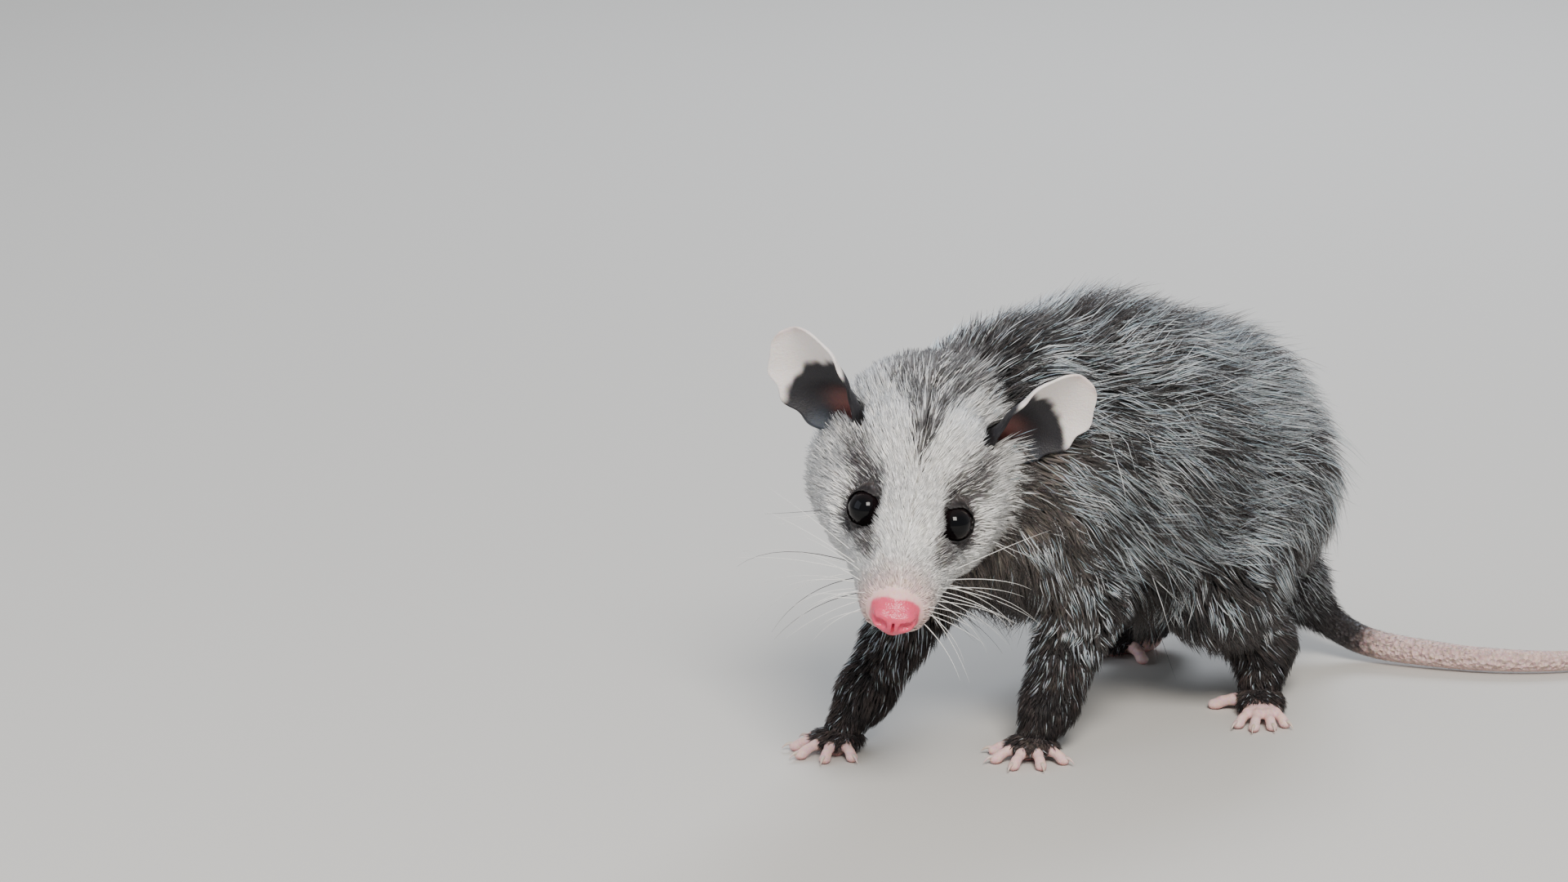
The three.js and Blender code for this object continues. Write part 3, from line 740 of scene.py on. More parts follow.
def footColour(local):
    reach = np.linalg.norm(local[:, :2] / (1.25, 1), axis=1)
    uneven = smoothstep(-0.3, 0.8, waves(local, 3.0, 21))
    toes = layered(
        footPaint, linear(footPaint["toes"]), lilac=uneven * 0.6, tips=smoothstep(9, 12, reach) * 0.5)
    colour = mix(linear(footPaint["ankle"]), toes, smoothstep(3.6, 6.2, reach))
    return layered(footPaint, colour, sole=smoothstep(1.2, 0.3, local[:, 2]) * 0.8)


def tailColour(share, points):
    edge = share + 0.02 * waves(points, 5, 31)
    return layered(tailPaint, linear(tailPaint["root"]), scales=smoothstep(0.36, 0.44, edge),
                   tip=smoothstep(0.7, 1.0, share) * 0.5)


def earColour(rise, across, layer, side):
    uneven = waves(np.stack([rise * 9, across * 6, layer], axis=1), 11.0, 41)
    outward = across * side
    edge = rise + 0.05 * uneven + 0.16 * smoothstep(0.2, 1, outward) + 0.10 * smoothstep(0.7, 1, -outward)
    lobe = smoothstep(0.30, 0.10, rise) * smoothstep(0.2, 0.8, outward)
    canal = smoothstep(0.42, 0.12, rise) * smoothstep(0.75, 0.1, np.abs(across + 0.2 * side)) * (layer > 0)
    return layered(
        earPaint, linear(earPaint["black"]), pale=smoothstep(0.60, 0.68, edge), lobe=lobe * 0.6,
        rim=smoothstep(0.9, 1.0, rise) * 0.35, canal=canal * 0.8)


def nearestTree(points, numbers=None):
    tree = KDTree(len(points))
    for i, point in enumerate(points):
        tree.insert(point, i if numbers is None else numbers[i])
    tree.balance()
    return tree


earTrees = {}
for side in (1, -1):
    vertices, quads, shares = earMesh(side)
    earTrees[side] = (nearestTree(vertices), shares)
tailTree = nearestTree(tailCentres)


def regionsOf(points):
    # Which part each point belongs to, and what its colour takes from there
    local = toHead(points)
    headGap = rodsDistance(local, headRods, soft["skull"])
    legGap = np.min([legDistance(points, name) for name in legJoints], axis=0)
    bodyGap = np.minimum(rodsDistance(points, trunkRods, soft["trunk"]), legGap)
    region = np.where(headGap < bodyGap, "head", "body").astype(object)
    footName = np.full(len(points), "", object)
    for name, plan in footPlans.items():
        inFoot = toFoot(points, plan)
        near = (inFoot[:, 2] < 6.4) & (np.linalg.norm(inFoot[:, :2], axis=1) < 21)
        region[near] = "foot"
        footName[near] = name
    tailShare = np.zeros(len(points))
    for i in np.flatnonzero(points[:, 0] > 60):
        _, nearest, gap = tailTree.find(points[i])
        share = nearest / (len(tailCentres) - 1)
        if share > 0.04 and gap < tailRadius(share) + 0.8:
            region[i] = "tail"
            tailShare[i] = share
    ear = np.zeros((len(points), 4))
    for i in np.flatnonzero((np.abs(local[:, 1]) > 12) & (local[:, 2] > 0) & (np.abs(local[:, 0] - 1) < 15)):
        side = 1 if local[i, 1] > 0 else -1
        tree, shares = earTrees[side]
        _, nearest, gap = tree.find(points[i])
        if gap < 0.45:
            region[i] = "ear"
            ear[i] = (*shares[nearest], side)
    return dict(local=local, region=region, foot=footName, tailShare=tailShare, ear=ear,
                headGap=headGap, bodyGap=bodyGap)


def skinColours(points, about):
    local, region = about["local"], about["region"]
    face = noseColour(local, faceColour(local))
    colours = mix(bodyColour(points), face, smoothstep(2.5, -2.5, about["headGap"] - about["bodyGap"]))
    lids = smoothstep(0.9, 0.3, np.abs(eyeGap(local) - 4.5)) * (region == "head")
    colours = layered(facePaint, colours, lids=lids)
    for name, plan in footPlans.items():
        these = about["foot"] == name
        colours[these] = footColour(toFoot(points[these], plan))
    these = region == "tail"
    colours[these] = tailColour(about["tailShare"][these], points[these])
    these = region == "ear"
    colours[these] = earColour(*about["ear"][these].T)
    return colours


skinPoints = meshPoints(skin)
skinAbout = regionsOf(skinPoints)
setColours(skin, skinColours(skinPoints, skinAbout))
isBare = np.isin(skinAbout["region"], ["foot", "ear", "tail"]).astype(float)
onNose = padShare(skinAbout["local"]) * (skinAbout["region"] == "head")
setFloats(skin, "bare", np.maximum(isBare, onNose))
setFloats(skin, "moist", onNose)
setFloats(skin, "scaly", (skinAbout["region"] == "tail") * smoothstep(0.10, 0.2, skinAbout["tailShare"]))
stage("markingsAndPaintedLight")


def skinFinish():
    # Live skin, soft and a little see-through: a fine grain all over, scales on the tail, creased cells on
    # what is bare, and a moist nose. The scales are drawn a little coarser than life, to show
    material, tree, shader = shaderOf("creased skin and short fur", "#c9a39c", {
        "Roughness": 0.62, "Subsurface Weight": 0.12, "Subsurface Radius": (0.0012, 0.0006, 0.0004)})
    colourNode, bare, moist, scaly = (addNode(tree, "ShaderNodeAttribute", {"attribute_name": name})
                                 for name in ("markingsAndPaintedLight", "bare", "moist", "scaly"))
    place, grain = grainOver(tree, shader, colourNode.outputs["Color"], cell=0.714, share=0.3, detail=4.0)
    scales, cells = (addNode(tree, "ShaderNodeTexVoronoi", {"Scale": patternScale(cell)},
                             {"Vector": place.outputs["Position"]}) for cell in (1.11, 0.385))
    rough = addNode(tree, "ShaderNodeMapRange", {"To Min": 0.62, "To Max": 0.28},
                    {"Value": moist.outputs["Fac"]})
    tree.links.new(rough.outputs["Result"], shader.inputs["Roughness"])
    before = shader.inputs["Normal"]
    reliefs = [(cells.outputs["Distance"], bare, 0.3, 0.2), (scales.outputs["Distance"], scaly, 1.0, 1.2),
               (grain.outputs["Fac"], None, 0.35, 0.3)]
    for height, where, strength, millimetres in reliefs:
        if where:
            product = addNode(tree, "ShaderNodeMath", {"operation": "MULTIPLY"},
                              {0: height, 1: where.outputs["Fac"]})
            height = product.outputs["Value"]
        bump = addNode(tree, "ShaderNodeBump", {"Strength": strength, "Distance": millimetres / 1000},
                       {"Height": height})
        tree.links.new(bump.outputs["Normal"], before)
        before = bump.inputs["Normal"]
    return material


skin.data.materials.clear()
dress(skin, skinFinish())
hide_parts(*[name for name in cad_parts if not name.startswith("eye")])
skin.data.polygons.foreach_set("material_index", np.zeros(len(skin.data.polygons), np.int32))


# Eyes: a glossy ball with a bulging cornea, brown-black all through, in a hollow a hair's breadth wider
eyeball = dict(radius=4.14, bulge=0.16, spread=0.75, rings=40, segments=56, pupil="#050507", iris="#150f10")


def makeEye(side, name):
    # Rings go by their angle from the eye's axis, and the finish takes its colours by it
    polar = np.linspace(0, math.pi, eyeball["rings"] + 1)[1:-1]
    radius = eyeball["radius"] + eyeball["bulge"] * np.exp(-(polar / eyeball["spread"]) ** 2)
    centre, axis = mirrored(head["eyePlace"], side), eyeAxis(side)
    ends = (centre + axis * (eyeball["radius"] + eyeball["bulge"]), centre - axis * eyeball["radius"])
    middles = centre + (radius * np.cos(polar))[:, None] * axis
    vertices, quads, caps = sweep(middles, radius * np.sin(polar), eyeball["segments"], (0.2, 1, 0), ends)
    eye = makeMesh(name, inHead(vertices), quads, caps)
    setFloats(eye, "polar", np.concatenate([[0], np.repeat(polar, eyeball["segments"]), [math.pi]]))
    return eye


def eyeFinish():
    # A wet cornea over a black pupil and a very dark brown iris
    material, tree, shader = shaderOf("dark glossy eye", "#0d0a0c", {
        "Roughness": 0.04, "IOR": 1.38, "Specular IOR Level": 0.22,
        "Coat Weight": 0.12, "Coat Roughness": 0.02})
    polar = addNode(tree, "ShaderNodeAttribute", {"attribute_name": "polar"})
    ramp = addNode(tree, "ShaderNodeValToRGB", {}, {"Fac": polar.outputs["Fac"]})
    for stop, place, colour in zip(ramp.color_ramp.elements, (0.45, 0.80), ("pupil", "iris")):
        stop.position = place
        stop.color = (*linear(eyeball[colour]), 1)
    grainOver(tree, shader, ramp.outputs["Color"], cell=0.556, share=0.25, detail=3.0)
    return material


eyeMaterial = eyeFinish()
for side, name in ((1, "eye_left"), (-1, "eye_right")):
    eye = makeEye(side, "smooth_" + name)
    dress(eye, eyeMaterial)
    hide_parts(name)
stage("eyes")


# Coat: closed three-sided hairs and locks, led over the flesh along the lie of the coat. Each rod of
# flesh has the coat's depth at its start and end, and the trunk's rods have the way the coat lies too
headCoats = [(3.6, 3.4), (3.4, 1.7), (1.5, 0.7), (3.2, 0.8)]
legCoats = {"fore": [(7, 5), (5, 2.4), (2.4, 1.3)], "hind": [(9, 6.5), (6.5, 3.0), (3.0, 1.5)]}
trunkCoats = [(12, 12.5), (12.5, 12.5), (12.5, 12.5), (12.5, 11), (8, 6.5)]
trunkWays = [(0.86, 0, -0.5)] * 3 + [(0.6, 0, -0.8), (0.8, 0, -0.6)]


def coatField(points):
    return blend(trunkDistance(points), skullDistance(toHead(points)), soft["neck"])


def fieldSlope(points):
    value = coatField(points)
    return value, unit(np.stack([coatField(points + offset) - value for offset in np.eye(3) * 0.4], axis=1))


def lieOfCoat(points):
    # The coat's depth and the way it lies, averaged over the nearest rods
    local = toHead(points)
    total, depth, ways = np.full(len(points), 1e-9), np.zeros(len(points)), np.zeros((len(points), 3))

    def add(at, rod, coats, way):
        start, along = np.asarray(rod[0], float), np.subtract(rod[1], rod[0]).astype(float)
        reach = np.clip((at - start) @ along / (along @ along), 0, 1)
        weight = np.exp(-rodDistance(at, rod) / 2.5)
        total[:] += weight
        depth[:] += weight * (coats[0] + (coats[1] - coats[0]) * reach)
        ways[:] += weight[:, None] * way

    for rod, coats, way in zip(trunkRods, trunkCoats, trunkWays):
        add(points, rod, coats, np.array(way))
    for name in legJoints:
        for i, rod in enumerate(legRods(name)):
            along = unit(np.subtract(rod[1], rod[0]))
            way = (0.4, 0, -0.9) if i == 0 else along + np.array([0.25, 0, -0.15])
            add(points, rod, legCoats[name[:4]][i], np.array(way))
    outward, level = np.sign(local[:, 1:2]), np.ones((len(points), 1))
    faceWays = np.hstack([-level, 0.22 * outward, -0.1 * level]) @ headTurned
    cheekWays = np.hstack([-0.8 * level, 0.35 * outward, -0.5 * level]) @ headTurned
    for rod, coats in zip(headRods, headCoats):
        add(local, rod, coats, faceWays)
    for rod, coats in zip(cheekRods, cheekCoats):
        add(local, rod, coats, cheekWays)
    return depth / total, unit(ways)


def readSkin():
    mesh = skin.data
    normals = np.empty(len(mesh.vertices) * 3, np.float32)
    mesh.vertex_normals.foreach_get("vector", normals)
    mesh.calc_loop_triangles()
    corners = np.empty(len(mesh.loop_triangles) * 3, np.int32)
    mesh.loop_triangles.foreach_get("vertices", corners)
    return normals.reshape(-1, 3).astype(float), corners.reshape(-1, 3)


skinNormals, skinFaces = readSkin()
faceCorners = skinPoints[skinFaces]
faceAreas = np.linalg.norm(np.cross(faceCorners[:, 1] - faceCorners[:, 0],
                                    faceCorners[:, 2] - faceCorners[:, 0]), axis=1) / 2
skinDepth, skinWays = lieOfCoat(skinPoints)


def scatter(count, weights):
    # Evenly spread roots over the skin's triangles, by area and weight
    heavy = np.cumsum(faceAreas * weights[skinFaces].mean(axis=1))
    evenly = (np.arange(count) + random.uniform(0, 1, count)) / count
    picks = np.searchsorted(heavy, evenly * heavy[-1] * 0.999999)
    corners = skinFaces[picks]
    first, second = random.uniform(0, 1, (2, count))
    over = first + second > 1
    first[over], second[over] = 1 - first[over], 1 - second[over]
    shares = np.stack([1 - first - second, first, second], axis=1)[:, :, None]
    points = (skinPoints[corners] * shares).sum(axis=1)
    normals = unit((skinNormals[corners] * shares).sum(axis=1))
    return points, normals, corners[np.arange(count), shares[:, :, 0].argmax(axis=1)]


def turned(ways, normals, angles):
    ways = unit(ways - normals * np.sum(ways * normals, axis=1, keepdims=True))
    return ways * np.cos(angles)[:, None] + np.cross(normals, ways) * np.sin(angles)[:, None]


def grow(about, roots, normals, ways, lengths, depths, overField=True):
    # Points along each hair: it rises from the skin to its share of the coat's depth as it runs back,
    # over the field or, on feet and tail, straight off the skin
    segments = about["segments"]
    paths = np.empty((len(roots), segments + 1, 3))
    paths[:, 0] = roots - normals * 0.3
    at = roots.copy()
    before = np.zeros(len(roots))
    step = lengths / segments
    for k in range(1, segments + 1):
        height = depths * (k / segments) ** about["bend"]
        value, slope = fieldSlope(at)
        value = np.where(overField, value, before)
        slope = np.where(np.reshape(overField, (-1, 1)), slope, normals)
        along = unit(ways - slope * np.sum(ways * slope, axis=1, keepdims=True))
        rise = np.clip(height - value, -0.92 * step, 0.92 * step)
        at = at + along * np.sqrt(step ** 2 - rise ** 2)[:, None] + slope * rise[:, None]
        before = height
        paths[:, k] = at
    return paths


def clump(about, paths):
    # Neighbours lean to the nearest guide hair, so that the tips draw together in wisps
    every, pull, reach = about["clump"]
    guides = np.arange(0, len(paths), every)
    random.shuffle(guides)
    tree = nearestTree(paths[guides, 0], guides)
    found = [tree.find(root)[1:] for root in paths[:, 0]]
    nearest = np.array([one[0] for one in found])
    strength = pull * smoothstep(reach, reach * 0.5, np.array([one[1] for one in found]))
    lean = strength[:, None, None] * np.linspace(0, 1, paths.shape[1])[None, :, None] ** 1.3
    return paths + (paths[nearest] - paths) * lean, nearest


def notInTheWay(paths):
    # Hairs that would cross an eye, stand in an ear or reach the floor are left out
    clear = paths[:, :, 2].min(axis=1) > 0.3
    for k in range(1, paths.shape[1]):
        local = toHead(paths[:, k])
        for side in (1, -1):
            axis = eyeAxis(side)
            away = local - mirrored(head["eyePlace"], side)
            depth = away @ axis
            clear &= ~((np.linalg.norm(away - depth[:, None] * axis, axis=1) < 4.1) & (depth > 0))
        near = (np.abs(local[:, 1]) > 11) & (local[:, 2] > 3) & (np.abs(local[:, 0]) < 18) & clear
        for i in np.flatnonzero(near):
            side = 1 if local[i, 1] > 0 else -1
            clear[i] = earTrees[side][0].find(paths[i, k])[2] > 0.9
    return clear


def turnShare(first, second):
    # An angle as a share of a full turn
    return np.arctan2(first, second) / (2 * math.pi) + 0.5


# Unwraps for the bake map: how far along and how far round the body, head, legs and tail
def wrapBody(points):
    return (points[:, 0] + 60) / 170, turnShare(points[:, 1], points[:, 2] - 52)


def wrapHead(points):
    local = toHead(points)
    return (local[:, 0] + 24) / 80, turnShare(local[:, 1], local[:, 2] + 3)


def wrapLegs(points):
    leg = np.array([legDistance(points, name) for name in legJoints]).argmin(axis=0)
    u, v = np.zeros(len(points)), np.zeros(len(points))
    for i, name in enumerate(legJoints):
        joints = np.array(legJoints[name], float)[::-1]
        axis = np.stack([np.interp(points[:, 2], joints[:, 2], joints[:, k]) for k in range(2)], axis=1)
        away = points[:, :2] - axis
        u = np.where(leg == i, (i + 0.02 + 0.96 * np.clip(1 - points[:, 2] / 75, 0, 1)) / 4, u)
        v = np.where(leg == i, turnShare(away[:, 1], away[:, 0]), v)
    return u, v


def wrapTail(points):
    return (points[:, 0] - 65) / 95, turnShare(points[:, 1] + 15, points[:, 2] - 10)


hairShape = dict(flat=0.6, places=(0, 0.3, 0.7, 1), widths=(0.8, 1, 0.62, 0), patch=0.003)


def hairPiece(name, about, material, paths, normals, widths, colours):
    # One mesh of closed hairs; each hair's patch on the bake map lies at its root's place
    count, rows = paths.shape[:2]
    segments = rows - 1
    tangents = unit(np.gradient(paths, axis=1))
    across = unit(np.cross(np.repeat(normals[:, None], rows, axis=1), tangents))
    upward = np.cross(tangents, across) * hairShape["flat"]
    profile = np.interp(np.linspace(0, 1, rows), hairShape["places"], hairShape["widths"])
    size = widths[:, None, None] / 2 * profile[None, :, None]
    corners = [paths + size * (across * math.cos(angle) + upward * math.sin(angle))
               for angle in np.radians((90, 210, 330))]
    body = np.stack([corner[:, :-1] for corner in corners], axis=2).reshape(count, segments * 3, 3)
    vertices = np.concatenate([body, paths[:, -1:]], axis=1)
    each = segments * 3 + 1
    start = np.arange(count)[:, None, None] * each
    quads, quadPlaces, triangles, trianglePlaces = [], [], [], []
    for k in range(segments - 1):
        for j in range(3):
            after = (j + 1) % 3
            quads.append([k * 3 + j, k * 3 + after, (k + 1) * 3 + after, (k + 1) * 3 + j])
            quadPlaces.append([(j / 3, k), ((j + 1) / 3, k), ((j + 1) / 3, k + 1), (j / 3, k + 1)])
    last = (segments - 1) * 3
    for j in range(3):
        triangles.append([last + j, last + (j + 1) % 3, each - 1])
        trianglePlaces.append([(j / 3, segments - 1), ((j + 1) / 3, segments - 1), ((j + 0.5) / 3, segments)])
    triangles.append([0, 2, 1])
    trianglePlaces.append([(0, 0), (0.66, 0), (0.33, 0.1)])
    piece = makeMesh(name, vertices.reshape(-1, 3), start + np.array(quads), start + np.array(triangles))
    shade = np.concatenate([np.repeat(colours[:, :-1], 3, axis=1), colours[:, -1:]], axis=1)
    setColours(piece, shade.reshape(-1, 3))
    centre = 0.01 + 0.98 * np.clip(np.stack(about["wrap"](paths[:, 0]), axis=1), 0, 1)
    corner = centre[:, None, :] - hairShape["patch"] / 2
    patch = hairShape["patch"] / np.array([1, segments])
    spots = [(corner + np.array(places).reshape(1, -1, 2) * patch).reshape(-1, 2)
             for places in (quadPlaces, trianglePlaces)]
    layer = piece.data.uv_layers.new(name="OFBake")
    layer.data.foreach_set("uv", np.concatenate(spots).astype(np.float32).ravel())
    dress(piece, material)
    stage(f"{name}: {count} hairs, {count * (segments * 6 - 2)} triangles")


def hairPieces(about, keep, *arrays):
    # Split so that each piece stays under its share of triangles
    kept = [array[keep] for array in arrays]
    parts = math.ceil(len(kept[0]) * (6 * about["segments"] - 2) / about["most"])
    material = hairFinish(*about["finish"])
    for part in range(parts):
        name = f"{about['name']}_{part + 1}" if parts > 1 else about["name"]
        hairPiece(name, about, material, *(array[part::parts] for array in kept))


def hairFinish(name, colour, roughness, sheen):
    # Keratin, smooth but in so many strands that it looks satiny, with a little unevenness along each
    material, tree, shader = shaderOf(name, colour, {
        "Roughness": roughness, "Sheen Weight": sheen, "Sheen Roughness": 0.4, "Specular IOR Level": 0.4})
    # The colour attribute carries the markings, and on pale guard hairs a painted sky reflection
    colourNode = addNode(tree, "ShaderNodeAttribute", {"attribute_name": "markingsAndPaintedLight"})
    grainOver(tree, shader, colourNode.outputs["Color"], cell=1.43, share=0.2, detail=2.0)
    return material


def shades(base, along, spread):
    # Colours down each hair: the base colour, each hair a little lighter or darker, changing root to tip
    each = 1 + spread * random.normal(0, 1, len(base))
    return base[:, None, :] * each[:, None, None] * np.asarray(along)[None, :, None]


bodyVertices = skinAbout["region"] == "body"
headVertices = skinAbout["region"] == "head"
isLong = bodyVertices * smoothstep(3.6, 4.6, skinDepth)


# Underfur of the trunk: soft dark locks
underfur = dict(
    name="underfur", count=29000, segments=2, bend=0.72, clump=(9, 0.5, 5), most=195000, wrap=wrapBody,
    slot="body_fur", finish=("soft dark underfur", "#2b2829", 0.75, 0.15))


def makeUnderfur():
    count = underfur["count"]
    roots, normals, near = scatter(count, isLong * (0.5 + skinDepth / 12))
    depths = skinDepth[near] * random.uniform(0.40, 0.74, count)
    lengths = depths * 1.1 + random.uniform(2.5, 5.0, count)
    ways = turned(skinWays[near], normals, random.normal(0, 0.28, count))
    paths = clump(underfur, grow(underfur, roots, normals, ways, lengths, depths))[0]
    base = bodyColour(roots) * (0.85 + 0.25 * waves(roots, 6, 51))[:, None]
    face = faceColour(toHead(roots), random.uniform(0, 1, count))
    base = mix(base, face, 0.9 * smoothstep(1.5, -4, skinAbout["headGap"][near]))
    colours = shades(base, (0.7, 1.0, 1.45), 0.22)
    hairPieces(underfur, notInTheWay(paths), paths, normals, 0.70 + depths * 0.05, colours)


# Guard hairs: long pale wisps that cross over the dark underfur, the longest standing off the coat
# The pale colour is a blue-grey: the hairs' own pale with a painted reflection of the bluish sky light
guardHairs = dict(
    name="guard_hairs", count=38500, segments=3, bend=0.88, clump=(12, 0.6, 6), most=197000, wrap=wrapBody,
    slot="body_fur", longShare=0.16, pale="#a9bdc9", palest="#f4f5f4", darkest="#141315", dark="#574d49",
    finish=("pale glossy guard hair", "#c9ced2", 0.42, 0.1))


def makeGuardHairs():
    count = guardHairs["count"]

    def chances():
        return random.uniform(0, 1, count)

    roots, normals, near = scatter(count, isLong * (0.55 + skinDepth / 14))
    depths = skinDepth[near] * random.uniform(0.70, 1.04, count)
    longer = (chances() < guardHairs["longShare"]) * smoothstep(6, 11, skinDepth[near])
    depths = depths * (1 + 0.22 * longer)
    beyond = random.uniform(4.0, 10.0, count) * smoothstep(3, 11, skinDepth[near])
    lengths = depths * 1.12 + beyond + 7 * longer
    wisp = waves(roots, 11, 61) * 0.45 + waves(roots, 4, 62) * 0.3
    ways = turned(skinWays[near], normals, random.normal(0, 0.24, count) + wisp)
    paths, guides = clump(guardHairs, grow(guardHairs, roots, normals, ways, lengths, depths))
    # Pale tips run from the blue-grey of the painted sky reflection to plain white
    pale = mix(linear(guardHairs["pale"]), linear(guardHairs["palest"]), chances())
    dark = mix(linear(guardHairs["darkest"]), linear(guardHairs["dark"]), chances() ** 2)
    # Pale hairs crowd in patches, and thin out at the shoulder, along the spine and under the belly
    crowded = 0.47 + 0.26 * waves(roots, 12, 63)
    crowded = crowded - 0.08 * smoothstep(2, -16, roots[:, 0]) * smoothstep(82, 68, roots[:, 2])
    crowded = crowded - 0.22 * smoothstep(6, 1, np.abs(roots[:, 1] + 2)) * (normals[:, 2] > 0.6)
    crowded = crowded - 0.55 * smoothstep(-0.2, -0.7, normals[:, 2])
    isPale = (chances()[guides] * 0.6 + chances() * 0.4) < crowded
    tips = np.where(isPale[:, None], pale, dark)
    onHead = smoothstep(1.5, -4, skinAbout["headGap"][near])
    tips = mix(tips, faceColour(toHead(roots), chances()), onHead)
    base = bodyColour(roots)
    lower = mix(base, tips, np.where(isPale, 0.42, 0.5))
    colours = np.stack([base * 0.7, lower, mix(base, tips, 0.94), tips], axis=1)
    colours = colours * (1 + 0.10 * random.normal(0, 1, count))[:, None, None]
    widths = np.where(isPale, 0.31, 0.28) * random.uniform(0.7, 1.3, count)
    hairPieces(guardHairs, notInTheWay(paths), paths, normals, widths, colours)


# Face: short close hair, longer on crown and cheeks
faceFur = dict(
    name="face_fur", count=37500, segments=2, bend=0.72, clump=(9, 0.45, 2.2), most=195000, wrap=wrapHead,
    slot="face_fur", finish=("short soft face fur", "#e8e4dd", 0.6, 0.2))


def makeFaceFur():
    count, local = faceFur["count"], skinAbout["local"]
    toEye = eyeGap(local)
    bare = (toEye < 5.0) | (onNose > 0.1) | (local[:, 0] > 46.5)
    roots, normals, near = scatter(count, headVertices * ~bare * (1.5 - 0.8 * smoothstep(1, 4, skinDepth)))
    full = skinDepth[near] * smoothstep(4.8, 9, toEye[near]) + 0.3
    depths = full * random.uniform(0.45, 1.0, count)
    lengths = 1.2 + full * 1.6 + random.uniform(0, 0.8, count)
    ways = turned(skinWays[near], normals, random.normal(0, 0.16, count) + 0.2 * waves(roots, 5, 71))
    paths = clump(faceFur, grow(faceFur, roots, normals, ways, lengths, depths))[0]
    colours = shades(faceColour(toHead(roots), random.uniform(0, 1, count)), (0.78, 0.98, 1.06), 0.08)
    hairPieces(faceFur, notInTheWay(paths), paths, normals, 0.23 + 0.05 * full, colours)


# Legs and backs of the feet: dark fur that shortens to the toes, with more silver hairs higher up
legFur = dict(
    name="leg_fur", count=15500, segments=2, bend=0.72, clump=(9, 0.45, 3), most=195000, wrap=wrapLegs,
    slot="leg_fur", darkest="#231d1d", dark="#4d423e", silver="#a9b2b8",
    finish=("dark leg fur", "#2f2727", 0.65, 0.1))


def makeLegFur():
    count = legFur["count"]
    footReach = np.full(len(skinPoints), 99.0)
    for name, plan in footPlans.items():
        these = skinAbout["foot"] == name
        inFoot = toFoot(skinPoints[these], plan)
        footReach[these] = np.linalg.norm(inFoot[:, :2], axis=1) + 20 * (inFoot[:, 2] < 2.4)
    onFoot = (skinAbout["region"] == "foot") * (footReach < 5.8)
    roots, normals, near = scatter(count, bodyVertices * smoothstep(4.8, 3.8, skinDepth) + onFoot * 2.5)
    isFoot = onFoot[near] > 0
    full = np.where(isFoot, 0.8 * smoothstep(6.5, 3.5, footReach[near]) + 0.15, skinDepth[near])
    depths = full * random.uniform(0.45, 1.0, count)
    lengths = 1.6 + full * 1.35 + random.uniform(0, 0.8, count)
    ways = turned(skinWays[near], normals, random.normal(0, 0.2, count))
    paths = clump(legFur, grow(legFur, roots, normals, ways, lengths, depths, ~isFoot))[0]
    silver = random.uniform(0, 1, count) < 0.04 + 0.34 * smoothstep(12, 38, roots[:, 2])
    uneven = smoothstep(-0.3, 0.9, waves(roots, 7, 81))
    base = layered(legFur, linear(legFur["darkest"]), dark=uneven, silver=silver)
    colours = shades(base, (0.6, 1.0, 1.25), 0.2)
    hairPieces(legFur, notInTheWay(paths), paths, normals, 0.30 + 0.06 * full, colours)


# The tail's root: fur that thins out into short bristles between the scales
tailFur = dict(
    name="tail_fur", count=6500, segments=2, bend=0.72, most=195000, wrap=wrapTail, slot="tail_skin",
    fur="#262122", bristles="#8f8480", silver="#b4b9bc", finish=("dark tail bristles", "#2a2526", 0.6, 0.1))


def makeTailFur():
    count, share = tailFur["count"], skinAbout["tailShare"]
    weights = smoothstep(0.34, 0.08, share) + 0.08 * smoothstep(0.75, 0.2, share)
    roots, normals, near = scatter(count, (skinAbout["region"] == "tail") * weights)
    at = share[near]
    index = np.clip((at * (len(tailCentres) - 1)).astype(int), 1, len(tailCentres) - 2)
    ways = turned(tailCentres[index + 1] - tailCentres[index - 1], normals, random.normal(0, 0.2, count))
    depths = (0.3 + 7.5 * smoothstep(0.36, 0.02, at)) * random.uniform(0.3, 1, count)
    lengths = 1.5 + 12.0 * smoothstep(0.36, 0.0, at) + depths
    paths = grow(tailFur, roots, normals, ways, lengths, depths, overField=False)
    silver = random.uniform(0, 1, count) < 0.42 * smoothstep(0.3, 0.1, at)
    base = layered(tailFur, linear(tailFur["fur"]), bristles=smoothstep(0.3, 0.5, at), silver=silver)
    widths = 0.16 + 0.3 * smoothstep(0.34, 0.15, at)
    offFloor = paths[:, :, 2].min(axis=1) > 0.2
    hairPieces(tailFur, offFloor, paths, normals, widths, shades(base, (0.7, 1.0, 1.3), 0.25))


makeUnderfur()
makeGuardHairs()
makeFaceFur()
makeLegFur()
makeTailFur()


def joinedSweeps(name, lines, radii, sides):
    vertices, quads, caps = [], [], []
    total = 0
    for line, radius in zip(lines, radii):
        one, oneQuads, oneCaps = sweep(line, radius, sides, unit(np.cross(line[1] - line[0], (0.3, 0.5, 1))))
        vertices.append(one)
        quads.append(oneQuads + total)
        caps.append(np.array(oneCaps) + total)
        total += len(one)
    return makeMesh(name, np.vstack(vertices), np.vstack(quads), np.vstack(caps))


def arched(start, way, droop, length):
    share = np.linspace(0, 1, whiskers["steps"])[:, None]
    return inHead(start + unit(way) * length * share + np.asarray(droop) * length * share ** 2)


# Whiskers: long white ones in rows on the muzzle, dark ones over the eyes and on the cheeks
whiskers = dict(
    rows=4, columns=5, overEye=5, onCheek=3, steps=9, radius=0.105, white="#f1efea", dark="#2a2628")


